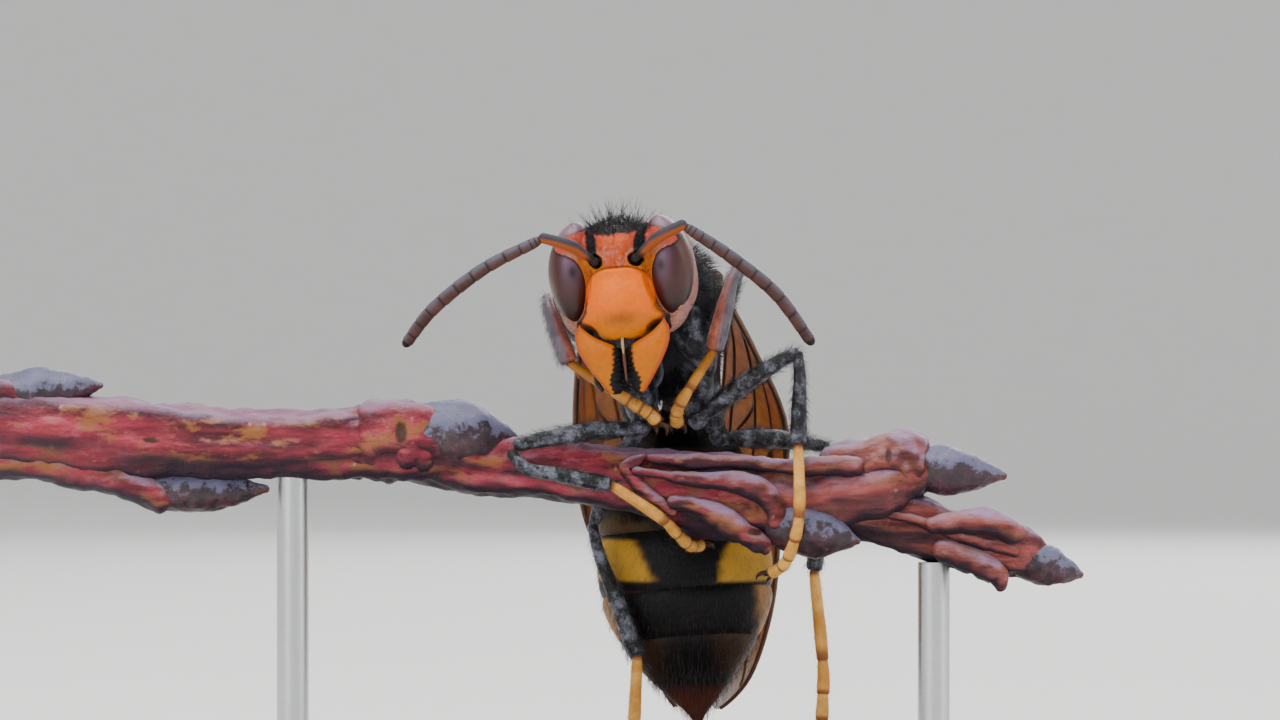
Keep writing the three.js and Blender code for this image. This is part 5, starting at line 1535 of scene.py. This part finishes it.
FORE_VEINS = [[(0, 0.03), (0.5, 0.0), (0.98, 0.02)], [(0, 0.16), (0.3, 0.10), (0.6, 0.07)],
              [(0, 0.32), (0.25, 0.36), (0.5, 0.30), (0.72, 0.10)], [(0.5, 0.30), (0.7, 0.34), (0.88, 0.12)],
              [(0.05, 0.45), (0.35, 0.60), (0.6, 0.66), (0.9, 0.70)], [(0.36, 0.33), (0.44, 0.60)],
              [(0.56, 0.31), (0.60, 0.66)], [(0.70, 0.34), (0.74, 0.67)],
              [(0, 0.75), (0.3, 0.86), (0.62, 0.92)], [(0.04, 0.98), (0.5, 0.99), (0.97, 0.98)],
              [(0.28, 0.56), (0.36, 0.88)]]
HIND_VEINS = [[(0, 0.04), (0.5, 0.02), (0.97, 0.04)], [(0, 0.4), (0.4, 0.45), (0.9, 0.4)],
              [(0, 0.8), (0.5, 0.85), (0.8, 0.9)], [(0.4, 0.04), (0.46, 0.45)]]
EDGE_VEIN, INNER_VEIN = 0.13, 0.075
SHEET_THICKNESS = 0.035

membrane, place = start_finish("amber_wing_membrane")
along = place.kept("along")
across = place.kept("across")
ripple = place.grain(0.0006, stretch=(1, 1, 0.35), detail=4)
fine = place.grain(0.00009, detail=3)
amber = ripple.rise(0.3, 0.7).tint((0.25, 0.044, 0.0, 1), (0.47, 0.104, 0.0, 1))
smoky = (along - across * 0.15).rise(0.5, 0.95).tint(amber, (0.20, 0.155, 0.12, 1))
cover = 0.90 - across.rise(0.1, 0.9) * 0.20 - along.rise(0.6, 1.0) * 0.30 + fine * 0.08
crinkle = place.grain(0.00028, detail=4)
shade(membrane, place, smoky, 0.34 + ripple * 0.2, ripple + crinkle * 0.6 + fine * 0.3, 0.00012,
      {"Alpha": cover, "Subsurface Weight": 0.2, "Subsurface Scale": 0.0004,
       "Subsurface Radius": (1.0, 0.6, 0.3), "Specular IOR Level": 0.2})

vein_brown, place = start_finish("brown_vein")
fine = place.grain(0.0002, detail=3)
shade(vein_brown, place, fine.tint((0.055, 0.018, 0.006, 1), (0.15, 0.05, 0.014, 1)), 0.36, fine, 0.00001)


def wing(name, edges, side, veins, arch, node):
    """A sheet between its front edge and its fold, arched outwards, with its veins on it."""
    lead, fold = ([Vector(point) for point in edge] for edge in edges)
    outwards = Vector((side * 0.75, 0.65, 0))

    def surface(part, share):
        """The place a part of the way to the tip and a share of the way to the fold."""
        rise = arch * math.sin(math.pi * share) * math.sin(math.pi * min(1, part * 1.2 + 0.1))
        pleat = 0.05 * math.sin(share * 21) * math.sin(math.pi * min(1, part + 0.05))
        tip_round = (1 - math.sqrt(max(0, 1 - max(0, (part - 0.86) / 0.14) ** 2))) * 0.5
        share = tip_round + share * (1 - 2 * tip_round)
        return between(lead, part).lerp(between(fold, part), share) + outwards * (rise + pleat)

    bm = bmesh.new()
    bmesh.ops.create_grid(bm, x_segments=110, y_segments=26, size=0.5)
    along, across = (bm.verts.layers.float.new(key) for key in ("along", "across"))
    for vert in bm.verts:
        vert[along], vert[across] = vert.co.x + 0.5, vert.co.y + 0.5
        vert.co = surface(vert[along], vert[across])
    bmesh.ops.recalc_face_normals(bm, faces=bm.faces)
    bmesh.ops.solidify(bm, geom=bm.faces[:], thickness=SHEET_THICKNESS)
    put(f"{name}_membrane", bm, membrane, [node], PERCH)
    bm = bmesh.new()
    for number, vein in enumerate(veins):
        drawn = [Vector(point) for point in vein]
        route = [surface(*between(drawn, k / 24)) + outwards * 0.03 for k in range(25)]
        thick = EDGE_VEIN if number == 0 else INNER_VEIN
        sweep(bm, route, [thick, thick * 0.9, thick * 0.55], sides=10, steps=40, ends=(0.8, 0.8))
    put(f"{name}_veins", bm, vein_brown, [], PERCH)


for name, side in (("left", 1), ("right", -1)):
    wing(f"forewing_{name}_skin", FOREWINGS[name], side, FORE_VEINS, 0.55, f"forewing_{name}")
    wing(f"hindwing_{name}_skin", HINDWINGS[name], side, HIND_VEINS, 0.1, f"hindwing_{name}")
